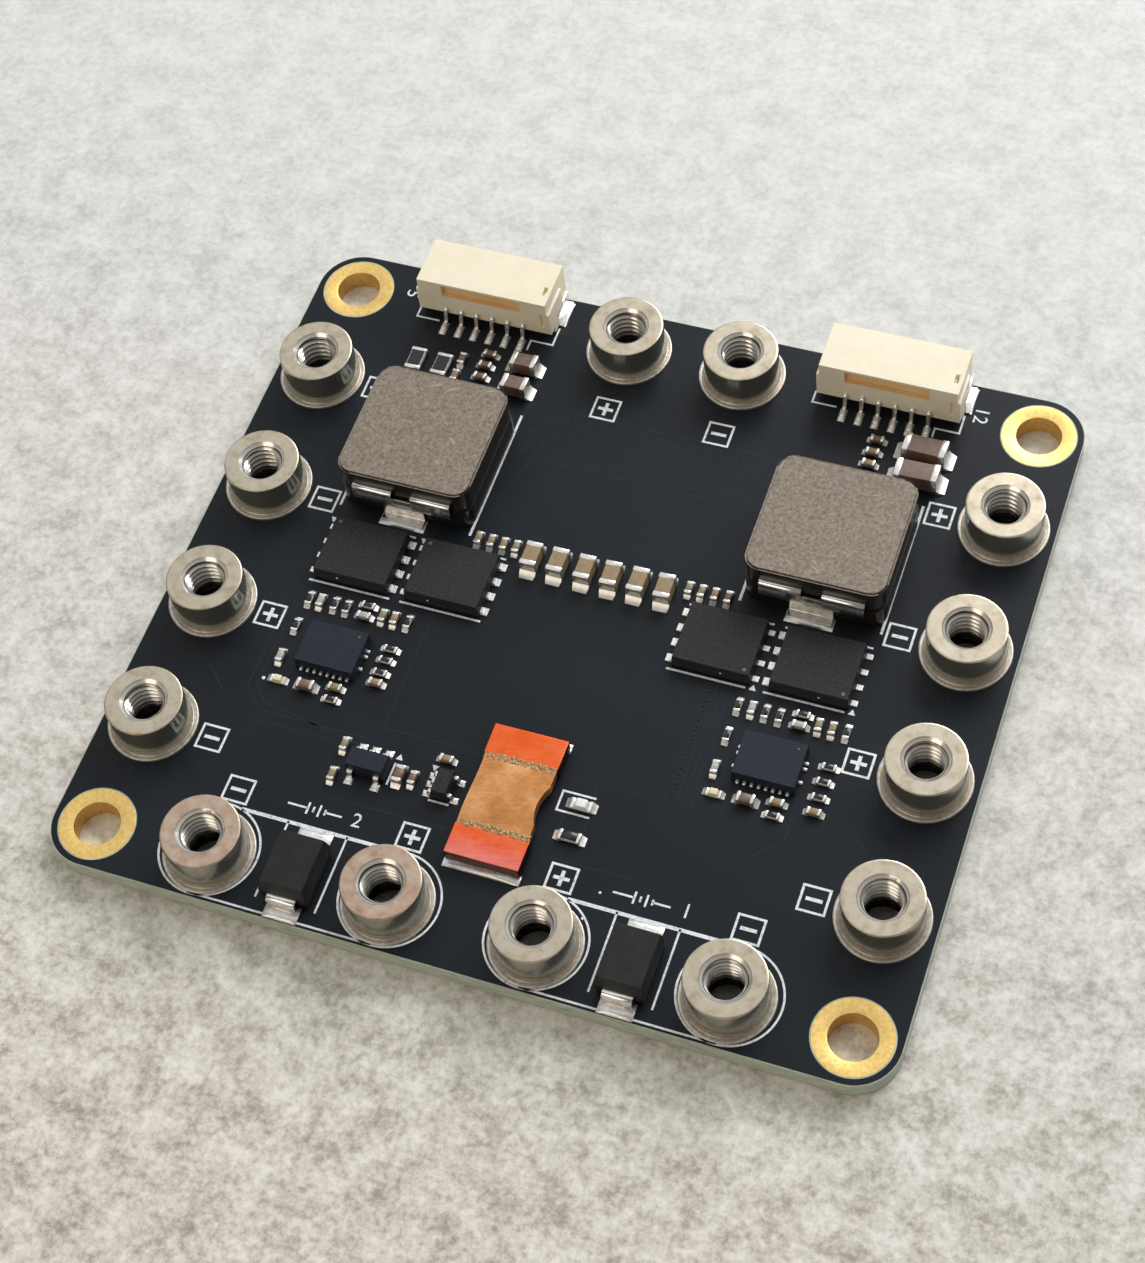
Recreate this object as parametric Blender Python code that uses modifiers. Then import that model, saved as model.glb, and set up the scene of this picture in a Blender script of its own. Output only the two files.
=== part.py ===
"""Power board of a small robot or drone: two battery inputs, a current shunt, a 5 V and a
12 V buck regulator, fourteen threaded terminals and two wire-to-board connectors.

Frame: +Z up, X along the long side, +Y towards the edge with the two connectors.
The origin is the centre of the board's underside.
"""

import math

import bmesh
import bpy
from mathutils import Matrix

MM = 0.001

# Overall sizes of the bare board, in millimetres
BOARD_LENGTH = 60.0
BOARD_WIDTH = 55.0
BOARD_THICKNESS = 1.6
BOARD_CORNER_RADIUS = 3.25

# Four plated M3 mounting holes, one in each corner
MOUNTING_HOLE_DIAMETER = 3.3
MOUNTING_HOLE_INSET = 3.25

# Solder joint under every part that sits on the board
SOLDER_GAP = 0.1

# Surface-mount spacers with an M3 thread, which take the cable lugs
TERMINAL_DIAMETER = 5.56
TERMINAL_HEIGHT = 3.0
TERMINAL_BORE = 2.5
TERMINAL_MOUTH = 3.4
TERMINAL_EDGE_BREAK = 0.12
TERMINAL_PILOT_DIAMETER = 4.2
TERMINAL_PILOT_CLEARANCE = 0.1
TERMINAL_PILOT_SHORTFALL = 0.2
SIDE_TERMINAL_INSET = 3.7
SIDE_TERMINAL_PITCH = 10.5
SIDE_TERMINAL_COUNT = 4
END_TERMINAL_INSET = 3.55
OUTPUT_TERMINAL_X = 4.45
BATTERY_PLUS_X = 5.25
BATTERY_MINUS_X = 18.35

# Moulded power inductors
INDUCTOR_LENGTH = 10.2
INDUCTOR_WIDTH = 10.0
INDUCTOR_HEIGHT = 4.0
INDUCTOR_CORNER_RADIUS = 1.1
INDUCTOR_TOP_CHAMFER = 0.22
INDUCTOR_X = 15.35
INDUCTOR_Y = 10.35
INDUCTOR_LEAD_WIDTH = 7.6
INDUCTOR_FOOT_WIDTH = 3.2
INDUCTOR_LEAD_THICKNESS = 0.3
INDUCTOR_LEAD_HEIGHT = 2.5
INDUCTOR_FOOT_LENGTH = 0.8
INDUCTOR_LEAD_CLEARANCE = 0.1

# Power transistors, two to each regulator
TRANSISTOR_LENGTH = 5.75
TRANSISTOR_WIDTH = 4.9
TRANSISTOR_HEIGHT = 1.0
TRANSISTOR_DRAFT = 0.18
TRANSISTOR_PITCH = 7.02
TRANSISTOR_PAIR_X = 13.54
TRANSISTOR_Y = 1.0

# Buck controllers, flat no-lead packages
CONTROLLER_LENGTH = 4.5
CONTROLLER_WIDTH = 3.5
CONTROLLER_HEIGHT = 0.9
CONTROLLER_X = 16.06
CONTROLLER_Y = -7.05

# Six-way side-entry connectors, one for each regulated output
CONNECTOR_PITCH = 1.25
CONNECTOR_WAYS = 6
CONNECTOR_END_MARGIN = 2.25
CONNECTOR_DEPTH = 4.05
CONNECTOR_HEIGHT = 4.05
CONNECTOR_X = 15.75
CONNECTOR_EDGE_SETBACK = 0.1
CONNECTOR_SIDE_WALL = 0.75
CONNECTOR_TOP_WALL = 0.6
CONNECTOR_FLOOR = 0.65
CONNECTOR_REAR_WALL = 1.0
CONNECTOR_STEP_HEIGHT = 0.7
CONNECTOR_STEP_DEPTH = 0.8
CONNECTOR_RECESS_WIDTH = 6.3
CONNECTOR_RECESS_HEIGHT = 1.2
CONNECTOR_RECESS_DEPTH = 0.45
CONNECTOR_RECESS_TOP = 0.2

# Tin-plated pins of the connectors
PIN_WIDTH = 0.3
PIN_THICKNESS = 0.2
PIN_AXIS_HEIGHT = 1.5
PIN_CLEARANCE = 0.1
PIN_CONTACT_LENGTH = 1.9
PIN_SHOULDER = 0.35
PIN_FOOT_LENGTH = 0.95

# Current shunt: two copper ends with a resistance strip welded between them
SHUNT_LENGTH = 10.2
SHUNT_WIDTH = 5.4
SHUNT_END_LENGTH = 2.35
SHUNT_THICKNESS = 1.05
SHUNT_ELEMENT_THICKNESS = 0.75
SHUNT_ELEMENT_INSET = 0.1
SHUNT_WELD_GAP = 0.05
SHUNT_Y = -14.8

# Surge diodes between each pair of battery terminals
DIODE_LENGTH = 4.4
DIODE_WIDTH = 3.5
DIODE_HEIGHT = 2.2
DIODE_DRAFT = 0.2

# Ceramic capacitors
INPUT_CAPACITOR_SIZE = (1.25, 2.0, 1.25)
INPUT_CAPACITOR_COUNT = 6
INPUT_CAPACITOR_PITCH = 2.0
INPUT_CAPACITOR_Y = 4.0
LEFT_CAPACITOR_SIZE = (2.0, 1.25, 1.25)
LEFT_CAPACITOR_X = -11.45
RIGHT_CAPACITOR_SIZE = (3.2, 1.6, 1.5)
RIGHT_CAPACITOR_X = 19.38
OUTPUT_CAPACITOR_PITCH = 2.2
OUTPUT_CAPACITOR_Y = 19.15
CAPACITOR_EDGE_BREAK = 0.08

# Small chips and the power light
MONITOR_CHIP_SIZE = (2.9, 1.6, 1.1)
MONITOR_CHIP_PLACE = (-10.2, -14.9)
SENSE_CHIP_SIZE = (1.25, 2.0, 0.95)
SENSE_CHIP_PLACE = (-4.65, -14.9)
LIGHT_SIZE = (1.6, 0.8, 0.6)
LIGHT_PLACE = (4.85, -13.6)

# Sides of the round parts
ROUND_STEPS = 24
HOLE_STEPS = 32
CORNER_STEPS = 8

# Heights and places that follow from the sizes above
BOARD_TOP = BOARD_THICKNESS
SEAT = BOARD_TOP + SOLDER_GAP
HALF_LENGTH = BOARD_LENGTH / 2
HALF_WIDTH = BOARD_WIDTH / 2
CONNECTOR_LENGTH = CONNECTOR_PITCH * (CONNECTOR_WAYS - 1) + 2 * CONNECTOR_END_MARGIN
CONNECTOR_FRONT_Y = HALF_WIDTH - CONNECTOR_EDGE_SETBACK
CONNECTOR_REAR_Y = CONNECTOR_FRONT_Y - CONNECTOR_DEPTH
SIDES = (("left", -1), ("right", 1))


def clear_scene():
    for item in list(bpy.data.objects):
        bpy.data.objects.remove(item, do_unlink=True)
    for group in list(bpy.data.collections):
        bpy.data.collections.remove(group)


def new_collection(name):
    group = bpy.data.collections.new(name)
    bpy.context.scene.collection.children.link(group)
    return group


def make_material(name, color, roughness, metallic=0.0):
    material = bpy.data.materials.new(name)
    material.use_nodes = True
    shader = material.node_tree.nodes["Principled BSDF"]
    shader.inputs["Base Color"].default_value = (*color, 1.0)
    shader.inputs["Roughness"].default_value = roughness
    shader.inputs["Metallic"].default_value = metallic
    return material


# Shapes -----------------------------------------------------------------------------------

def add_object(name, data, material, place=(0, 0, 0), group=None):
    """Link an object at a place given in millimetres, with its own copy of the material."""
    item = bpy.data.objects.new(name, data)
    (group or parts).objects.link(item)
    item.location = [value * MM for value in place]
    if material is not None:
        own = material.copy()
        own.name = name
        data.materials.append(own)
    if group is None:
        item.parent = root
    return item


def mesh_from(bm, name):
    data = bpy.data.meshes.new(name)
    bm.to_mesh(data)
    bm.free()
    return data


def box_bmesh(size, draft=0.0):
    """A box standing on z = 0, its top drawn in on each side by the draft."""
    bm = bmesh.new()
    lift = Matrix.Translation((0, 0, size[2] * MM / 2))
    bmesh.ops.create_cube(bm, size=1.0, matrix=lift @ Matrix.Diagonal([v * MM for v in size] + [1.0]))
    for vert in bm.verts:
        if vert.co.z > size[2] * MM / 2:
            vert.co.x -= math.copysign(draft * MM, vert.co.x)
            vert.co.y -= math.copysign(draft * MM, vert.co.y)
    return bm


def add_box(name, size, place, material, draft=0.0, edge_break=0.0):
    item = add_object(name, mesh_from(box_bmesh(size, draft), name), material, place)
    if edge_break:
        bevel = item.modifiers.new("edge break", "BEVEL")
        bevel.width = edge_break * MM
        bevel.segments = 1
    return item


def is_upright(edge):
    low, high = edge.verts
    return abs(low.co.x - high.co.x) < 1e-7 and abs(low.co.y - high.co.y) < 1e-7


def add_block(name, size, corner, chamfer, place, material):
    """A block with rounded upright corners and a chamfer round its top face."""
    bm = box_bmesh(size)
    upright = [edge for edge in bm.edges if is_upright(edge)]
    bmesh.ops.bevel(bm, geom=upright, offset=corner * MM, segments=5, profile=0.5, affect="EDGES")
    top = size[2] * MM - 1e-7
    rim = [edge for edge in bm.edges if all(vert.co.z > top for vert in edge.verts)]
    bmesh.ops.bevel(bm, geom=rim, offset=chamfer * MM, segments=1, profile=0.5, affect="EDGES")
    return add_object(name, mesh_from(bm, name), material, place)


def add_outline(name, loops, thickness, material, place, group=None):
    """A flat sheet from closed loops of (x, y) points; loops after the first are holes."""
    curve = bpy.data.curves.new(name, "CURVE")
    curve.dimensions = "2D"
    curve.fill_mode = "BOTH"
    curve.extrude = thickness * MM / 2
    for loop in loops:
        spline = curve.splines.new("POLY")
        spline.points.add(len(loop) - 1)
        spline.use_cyclic_u = True
        for point, (x, y) in zip(spline.points, loop):
            point.co = (x * MM, y * MM, 0.0, 1.0)
    return add_object(name, curve, material, place, group)


def circle(x, y, radius, steps):
    angles = [2 * math.pi * step / steps for step in range(steps)]
    return [(x + radius * math.cos(a), y + radius * math.sin(a)) for a in angles]


def rounded_rectangle(length, width, radius, steps):
    """Corner arcs in turn, anticlockwise from the +X +Y corner."""
    points = []
    for quarter, (sx, sy) in enumerate(((1, 1), (-1, 1), (-1, -1), (1, -1))):
        centre_x = sx * (length / 2 - radius)
        centre_y = sy * (width / 2 - radius)
        for step in range(steps + 1):
            angle = (quarter + step / steps) * math.pi / 2
            points.append((centre_x + radius * math.cos(angle), centre_y + radius * math.sin(angle)))
    return points


def strip_outline(path, thickness):
    """The outline of a strip of even thickness whose middle line turns square corners."""
    half = thickness / 2
    headings = []
    for (ax, ay), (bx, by) in zip(path, path[1:]):
        length = math.hypot(bx - ax, by - ay)
        headings.append(((bx - ax) / length, (by - ay) / length))
    upper = []
    lower = []
    for index, (x, y) in enumerate(path):
        before = headings[max(index - 1, 0)]
        after = headings[min(index, len(headings) - 1)]
        normal = [-(before[1] + after[1]), before[0] + after[0]]
        scale = half / (1 + before[0] * after[0] + before[1] * after[1])
        upper.append((x + normal[0] * scale, y + normal[1] * scale))
        lower.append((x - normal[0] * scale, y - normal[1] * scale))
    return upper + lower[::-1]


def turn_profile(name, profile, material, place):
    """A turned part: (radius, height) points down the outside and back up the bore."""
    bm = bmesh.new()
    verts = [bm.verts.new((radius * MM, 0.0, height * MM)) for radius, height in profile]
    for start, end in zip(verts, verts[1:] + verts[:1]):
        bm.edges.new((start, end))
    item = add_object(name, mesh_from(bm, name), material, place)
    screw = item.modifiers.new("turn", "SCREW")
    screw.axis = "Z"
    screw.angle = 2 * math.pi
    screw.steps = ROUND_STEPS
    screw.render_steps = ROUND_STEPS
    screw.use_merge_vertices = True
    screw.merge_threshold = 0.0001 * MM
    screw.use_smooth_shade = False
    return item


def cut_away(item, size, place):
    """Cut a box out of an item; the box is centred in x and y and stands on its place's z."""
    name = item.name + "_cut_" + str(len(cutters.objects) + 1)
    cutter = add_object(name, mesh_from(box_bmesh(size), name), None, place, cutters)
    cutter.hide_render = True
    cutter.display_type = "WIRE"
    boolean = item.modifiers.new("cut", "BOOLEAN")
    boolean.operation = "DIFFERENCE"
    boolean.solver = "EXACT"
    boolean.object = cutter


# The board ----------------------------------------------------------------------------------

def mounting_hole_places():
    x = HALF_LENGTH - MOUNTING_HOLE_INSET
    y = HALF_WIDTH - MOUNTING_HOLE_INSET
    return [(sx * x, sy * y) for sx in (-1, 1) for sy in (-1, 1)]


def terminal_places():
    """Name and centre of every threaded terminal."""
    places = []
    for side, sign in SIDES:
        x = sign * (HALF_LENGTH - SIDE_TERMINAL_INSET)
        for number in range(SIDE_TERMINAL_COUNT):
            y = ((SIDE_TERMINAL_COUNT - 1) / 2 - number) * SIDE_TERMINAL_PITCH
            places.append((f"terminal_{side}_{number + 1}", x, y))
    end_y = HALF_WIDTH - END_TERMINAL_INSET
    places.append(("terminal_output_plus", -OUTPUT_TERMINAL_X, end_y))
    places.append(("terminal_output_minus", OUTPUT_TERMINAL_X, end_y))
    for side, sign in SIDES:
        places.append((f"terminal_battery_{side}_plus", sign * BATTERY_PLUS_X, -end_y))
        places.append((f"terminal_battery_{side}_minus", sign * BATTERY_MINUS_X, -end_y))
    return places


def build_board(material):
    loops = [rounded_rectangle(BOARD_LENGTH, BOARD_WIDTH, BOARD_CORNER_RADIUS, CORNER_STEPS)]
    for x, y in mounting_hole_places():
        loops.append(circle(x, y, MOUNTING_HOLE_DIAMETER / 2, HOLE_STEPS))
    pilot_hole = TERMINAL_PILOT_DIAMETER / 2 + TERMINAL_PILOT_CLEARANCE
    for name, x, y in terminal_places():
        loops.append(circle(x, y, pilot_hole, ROUND_STEPS))
    add_outline("board", loops, BOARD_THICKNESS, material, (0, 0, BOARD_THICKNESS / 2))


# Threaded terminals -------------------------------------------------------------------------

def build_terminals(material):
    """Heights are measured from the board's top face."""
    body = TERMINAL_DIAMETER / 2
    bore = TERMINAL_BORE / 2
    mouth = TERMINAL_MOUTH / 2
    pilot = TERMINAL_PILOT_DIAMETER / 2
    pilot_end = TERMINAL_PILOT_SHORTFALL - BOARD_THICKNESS
    profile = [
        (mouth, TERMINAL_HEIGHT),
        (body - TERMINAL_EDGE_BREAK, TERMINAL_HEIGHT),
        (body, TERMINAL_HEIGHT - TERMINAL_EDGE_BREAK),
        (body, SOLDER_GAP),
        (pilot, SOLDER_GAP),
        (pilot, pilot_end),
        (bore, pilot_end),
        (bore, TERMINAL_HEIGHT - (mouth - bore)),
    ]
    for name, x, y in terminal_places():
        turn_profile(name, profile, material, (x, y, BOARD_TOP))


# Inductors ----------------------------------------------------------------------------------

def build_inductors(core_material, lead_material):
    """Each lead leaves the core's front or back at mid height and turns down to its foot."""
    size = (INDUCTOR_LENGTH, INDUCTOR_WIDTH, INDUCTOR_HEIGHT - SOLDER_GAP)
    reach = INDUCTOR_WIDTH / 2 + INDUCTOR_LEAD_CLEARANCE
    low = SOLDER_GAP + INDUCTOR_LEAD_THICKNESS / 2
    fold = reach + INDUCTOR_LEAD_THICKNESS / 2
    path = [(fold, INDUCTOR_LEAD_HEIGHT), (fold, low), (reach + INDUCTOR_FOOT_LENGTH, low)]
    outline = strip_outline(path, INDUCTOR_LEAD_THICKNESS)
    for side, sign in SIDES:
        centre_x = sign * INDUCTOR_X
        add_block(f"inductor_core_{side}", size, INDUCTOR_CORNER_RADIUS, INDUCTOR_TOP_CHAMFER,
                  (centre_x, INDUCTOR_Y, SEAT), core_material)
        for end, facing in (("front", -1), ("back", 1)):
            name = f"inductor_lead_{side}_{end}"
            lead = add_outline(name, [outline], INDUCTOR_FOOT_WIDTH, lead_material,
                               (centre_x, INDUCTOR_Y, BOARD_TOP))
            lead.rotation_euler = (math.pi / 2, 0, facing * math.pi / 2)


# Chips and diodes ---------------------------------------------------------------------------

def build_transistors(material):
    size = (TRANSISTOR_LENGTH, TRANSISTOR_WIDTH, TRANSISTOR_HEIGHT)
    for side, sign in SIDES:
        for number, half in ((1, -0.5), (2, 0.5)):
            x = sign * TRANSISTOR_PAIR_X + half * TRANSISTOR_PITCH
            add_box(f"power_transistor_{side}_{number}", size, (x, TRANSISTOR_Y, SEAT),
                    material, draft=TRANSISTOR_DRAFT)


def build_controllers(material):
    size = (CONTROLLER_LENGTH, CONTROLLER_WIDTH, CONTROLLER_HEIGHT)
    for side, sign in SIDES:
        add_box(f"buck_controller_{side}", size, (sign * CONTROLLER_X, CONTROLLER_Y, SEAT),
                material, edge_break=0.05)


def build_diodes(material):
    size = (DIODE_WIDTH, DIODE_LENGTH, DIODE_HEIGHT)
    x = (BATTERY_PLUS_X + BATTERY_MINUS_X) / 2
    y = END_TERMINAL_INSET - HALF_WIDTH
    for side, sign in SIDES:
        add_box(f"surge_diode_{side}", size, (sign * x, y, SEAT), material, draft=DIODE_DRAFT)


def build_small_parts(chip_material, light_material):
    add_box("power_monitor_chip", MONITOR_CHIP_SIZE, (*MONITOR_CHIP_PLACE, SEAT), chip_material,
            draft=0.08)
    add_box("current_sense_chip", SENSE_CHIP_SIZE, (*SENSE_CHIP_PLACE, SEAT), chip_material,
            draft=0.06)
    add_box("power_light", LIGHT_SIZE, (*LIGHT_PLACE, SEAT), light_material, edge_break=0.05)


# Connectors ---------------------------------------------------------------------------------

def build_connectors(housing_material, pin_material):
    middle_y = (CONNECTOR_FRONT_Y + CONNECTOR_REAR_Y) / 2
    size = (CONNECTOR_LENGTH, CONNECTOR_DEPTH, CONNECTOR_HEIGHT - SOLDER_GAP)
    mouth_depth = CONNECTOR_DEPTH - CONNECTOR_REAR_WALL
    mouth_height = CONNECTOR_HEIGHT - CONNECTOR_TOP_WALL - CONNECTOR_FLOOR
    mouth_length = CONNECTOR_LENGTH - 2 * CONNECTOR_SIDE_WALL
    spare = 1.0
    recess_bottom = CONNECTOR_HEIGHT - CONNECTOR_RECESS_TOP - CONNECTOR_RECESS_HEIGHT
    slot = (PIN_WIDTH + 2 * PIN_CLEARANCE, 2 * CONNECTOR_REAR_WALL, PIN_THICKNESS + 2 * PIN_CLEARANCE)
    foot_height = SOLDER_GAP + PIN_THICKNESS / 2
    fold_y = CONNECTOR_REAR_Y - PIN_SHOULDER
    contact_end = CONNECTOR_REAR_Y + CONNECTOR_REAR_WALL + PIN_CONTACT_LENGTH
    path = [(contact_end, PIN_AXIS_HEIGHT), (fold_y, PIN_AXIS_HEIGHT), (fold_y, foot_height),
            (fold_y - PIN_FOOT_LENGTH, foot_height)]
    outline = strip_outline(path, PIN_THICKNESS)
    for side, sign in SIDES:
        x = sign * CONNECTOR_X
        housing = add_box(f"connector_housing_{side}", size, (x, middle_y, SEAT), housing_material)
        cut_away(housing, (mouth_length, mouth_depth + spare, mouth_height),
                 (x, CONNECTOR_FRONT_Y + (spare - mouth_depth) / 2, BOARD_TOP + CONNECTOR_FLOOR))
        cut_away(housing, (CONNECTOR_LENGTH + spare, 2 * CONNECTOR_STEP_DEPTH, 2 * CONNECTOR_STEP_HEIGHT),
                 (x, CONNECTOR_REAR_Y, SEAT - CONNECTOR_STEP_HEIGHT))
        cut_away(housing, (CONNECTOR_RECESS_WIDTH, 2 * CONNECTOR_RECESS_DEPTH, CONNECTOR_RECESS_HEIGHT),
                 (x, CONNECTOR_REAR_Y, BOARD_TOP + recess_bottom))
        for number in range(CONNECTOR_WAYS):
            pin_x = x + (number - (CONNECTOR_WAYS - 1) / 2) * CONNECTOR_PITCH
            cut_away(housing, slot, (pin_x, CONNECTOR_REAR_Y + CONNECTOR_REAR_WALL / 2,
                                     BOARD_TOP + PIN_AXIS_HEIGHT - slot[2] / 2))
            pin = add_outline(f"connector_pin_{side}_{number + 1}", [outline], PIN_WIDTH,
                              pin_material, (pin_x, 0, BOARD_TOP))
            pin.rotation_euler = (math.pi / 2, 0, math.pi / 2)


# Shunt --------------------------------------------------------------------------------------

def build_shunt(copper_material, element_material):
    end_size = (SHUNT_WIDTH, SHUNT_END_LENGTH, SHUNT_THICKNESS)
    end_y = (SHUNT_LENGTH - SHUNT_END_LENGTH) / 2
    for end, sign in (("front", -1), ("back", 1)):
        add_box(f"shunt_end_{end}", end_size, (0, SHUNT_Y + sign * end_y, SEAT), copper_material,
                edge_break=0.1)
    element_length = SHUNT_LENGTH - 2 * (SHUNT_END_LENGTH + SHUNT_WELD_GAP)
    element_size = (SHUNT_WIDTH - 2 * SHUNT_ELEMENT_INSET, element_length, SHUNT_ELEMENT_THICKNESS)
    lift = SHUNT_THICKNESS - SHUNT_ELEMENT_THICKNESS
    add_box("shunt_element", element_size, (0, SHUNT_Y, SEAT + lift), element_material,
            edge_break=0.08)


# Ceramic capacitors -------------------------------------------------------------------------

def build_capacitors(input_material, output_material):
    for number in range(INPUT_CAPACITOR_COUNT):
        x = (number - (INPUT_CAPACITOR_COUNT - 1) / 2) * INPUT_CAPACITOR_PITCH
        add_box(f"input_capacitor_{number + 1}", INPUT_CAPACITOR_SIZE,
                (x, INPUT_CAPACITOR_Y, SEAT), input_material, edge_break=CAPACITOR_EDGE_BREAK)
    sized = (("left", LEFT_CAPACITOR_X, LEFT_CAPACITOR_SIZE),
             ("right", RIGHT_CAPACITOR_X, RIGHT_CAPACITOR_SIZE))
    for side, x, size in sized:
        for number, half in ((1, 0.5), (2, -0.5)):
            y = OUTPUT_CAPACITOR_Y + half * OUTPUT_CAPACITOR_PITCH
            add_box(f"output_capacitor_{side}_{number}", size, (x, y, SEAT), output_material,
                    edge_break=CAPACITOR_EDGE_BREAK)


clear_scene()
parts = new_collection("power_board")
cutters = new_collection("cutters")
root = bpy.data.objects.new("power_board_origin", None)
parts.objects.link(root)

plastic = make_material("chip plastic", (0.018, 0.018, 0.020), 0.55)
tin = make_material("tin plate", (0.72, 0.70, 0.66), 0.28, 1.0)

build_board(make_material("solder mask", (0.016, 0.019, 0.023), 0.42))
build_terminals(make_material("nickel-plated steel", (0.70, 0.64, 0.56), 0.30, 1.0))
build_inductors(make_material("iron powder compound", (0.21, 0.185, 0.16), 0.62), tin)
build_transistors(plastic)
build_controllers(make_material("controller plastic", (0.030, 0.033, 0.045), 0.50))
build_diodes(plastic)
build_connectors(make_material("ivory nylon", (0.86, 0.76, 0.58), 0.45), tin)
build_shunt(make_material("copper", (0.85, 0.24, 0.12), 0.38, 1.0),
            make_material("manganin", (0.52, 0.32, 0.17), 0.40, 1.0))
build_capacitors(make_material("tan ceramic", (0.36, 0.25, 0.15), 0.50),
                 make_material("brown ceramic", (0.20, 0.13, 0.10), 0.50))
build_small_parts(plastic, make_material("light lens", (0.90, 0.88, 0.80), 0.30))
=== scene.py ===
import math
import random
from functools import partial

import bmesh
import bpy
from mathutils import Matrix, Vector


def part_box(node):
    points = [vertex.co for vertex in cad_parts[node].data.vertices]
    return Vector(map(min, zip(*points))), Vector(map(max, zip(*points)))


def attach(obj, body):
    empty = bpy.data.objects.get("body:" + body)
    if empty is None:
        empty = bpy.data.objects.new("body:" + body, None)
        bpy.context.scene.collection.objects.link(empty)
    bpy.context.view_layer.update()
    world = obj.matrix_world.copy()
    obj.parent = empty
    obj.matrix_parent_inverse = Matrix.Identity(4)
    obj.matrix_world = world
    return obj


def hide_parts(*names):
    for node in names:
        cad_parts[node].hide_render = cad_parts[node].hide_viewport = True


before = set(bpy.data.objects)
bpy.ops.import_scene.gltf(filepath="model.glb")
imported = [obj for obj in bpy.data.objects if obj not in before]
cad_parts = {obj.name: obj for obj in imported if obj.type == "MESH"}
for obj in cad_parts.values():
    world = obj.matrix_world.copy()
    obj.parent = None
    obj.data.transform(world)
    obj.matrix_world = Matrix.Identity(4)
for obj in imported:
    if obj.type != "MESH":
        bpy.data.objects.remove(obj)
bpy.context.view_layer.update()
mm = 0.001
random.seed(7)
print("frame loaded:", len(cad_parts), "nodes")


# helpers for every piece: lengths are millimetres, the board is centred on x and y, its underside at z 0
def selectOnly(*pieces):
    bpy.ops.object.select_all(action="DESELECT")
    for piece in pieces:
        piece.select_set(True)
    bpy.context.view_layer.objects.active = pieces[0]


def editMesh(piece):
    selectOnly(piece)
    bpy.ops.object.mode_set(mode="EDIT")
    bpy.ops.mesh.select_all(action="DESELECT")
    return bmesh.from_edit_mesh(piece.data)


def pickAll():
    bpy.ops.mesh.select_all(action="SELECT")


def leaveEdit():
    bpy.ops.object.mode_set(mode="OBJECT")
    return bpy.context.active_object


def pickFaces(piece, wanted):
    # picks the faces whose middle (in mm) and normal pass the test
    bpy.ops.mesh.select_mode(type="FACE")
    mesh = bmesh.from_edit_mesh(piece.data)
    for face in mesh.faces:
        face.select_set(bool(wanted(face.calc_center_median() / mm, face.normal)))
    bmesh.update_edit_mesh(piece.data)


def pickEdges(piece, wanted):
    # picks the edges whose two ends (in mm) pass the test
    bpy.ops.mesh.select_mode(type="EDGE")
    mesh = bmesh.from_edit_mesh(piece.data)
    for edge in mesh.edges:
        edge.select_set(bool(wanted(edge.verts[0].co / mm, edge.verts[1].co / mm)))
    bmesh.update_edit_mesh(piece.data)


def placeInMesh(piece):
    selectOnly(piece)
    bpy.ops.object.transform_apply(location=True, rotation=True, scale=True)
    return piece


def addBlock(name, middle, size, rounding=0.0, steps=2):
    # a box at its size and place, every edge broken by the rounding
    bpy.ops.object.select_all(action="DESELECT")
    bpy.ops.mesh.primitive_cube_add(size=1, location=[v * mm for v in middle], scale=[v * mm for v in size])
    block = bpy.context.active_object
    block.name = name
    placeInMesh(block)
    if rounding:
        editMesh(block)
        pickAll()
        bpy.ops.mesh.bevel(offset=rounding * mm, segments=steps, affect="EDGES")
        leaveEdit()
    return block


def addRod(x, y, z, radius, depth, points):
    # an upright rod, to cut a hole with or to stand as a disc
    bpy.ops.mesh.primitive_cylinder_add(vertices=points, radius=radius * mm, depth=depth * mm,
                                        location=(x * mm, y * mm, z * mm))
    return placeInMesh(bpy.context.active_object)


def addTurned(name, rings, segments):
    # a ring of edges extruded and resized from one (radius, height) to the next and closed on itself
    bpy.ops.object.select_all(action="DESELECT")
    radius, height = rings[0]
    bpy.ops.mesh.primitive_circle_add(vertices=segments, radius=radius * mm, location=(0, 0, height * mm))
    turned = bpy.context.active_object
    turned.name = name
    placeInMesh(turned)
    editMesh(turned)
    pickAll()
    for nextRadius, nextHeight in rings[1:]:
        lift = (0, 0, (nextHeight - height) * mm)
        bpy.ops.mesh.extrude_edges_move(TRANSFORM_OT_translate={"value": lift})
        grow = nextRadius / radius
        bpy.ops.transform.resize(value=(grow, grow, 1), center_override=(0, 0, nextHeight * mm))
        radius, height = nextRadius, nextHeight
    pickAll()
    bpy.ops.mesh.remove_doubles(threshold=0.002 * mm)
    bpy.ops.mesh.normals_make_consistent(inside=False)
    return leaveEdit()


def joinAll(pieces, name):
    selectOnly(*pieces)
    if len(pieces) > 1:
        bpy.ops.object.join()
    pieces[0].name = name
    pieces[0].data.name = name
    return pieces[0]


def rememberPlace(piece):
    # keeps each point's place on the untouched piece, so a turned or moulded pattern follows every copy
    own = piece.data.attributes.new("ownPlace", "FLOAT_VECTOR", "POINT")
    for point, value in zip(piece.data.vertices, own.data):
        value.vector = point.co
    return piece


def copyTo(piece, name, place, turn=0.0, stretch=(1, 1, 1)):
    # a copy with its own mesh: stretched, turned about z by degrees, then carried to its place
    twin = piece.copy()
    twin.data = piece.data.copy()
    twin.name = name
    twin.data.name = name
    bpy.context.scene.collection.objects.link(twin)
    carry = Matrix.Translation(Vector(place) * mm) @ Matrix.Rotation(math.radians(turn), 4, "Z")
    twin.data.transform(carry @ Matrix.Diagonal((*stretch, 1)))
    return twin


def removePattern(*pieces):
    for piece in pieces:
        bpy.data.objects.remove(piece)


def cutWith(piece, cutter):
    # takes the cutter's shape out of the piece for good
    selectOnly(piece)
    cut = piece.modifiers.new("cut", "BOOLEAN")
    cut.operation = "DIFFERENCE"
    cut.solver = "EXACT"
    cut.object = cutter
    bpy.ops.object.modifier_apply(modifier=cut.name)
    removePattern(cutter)
    return piece


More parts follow.
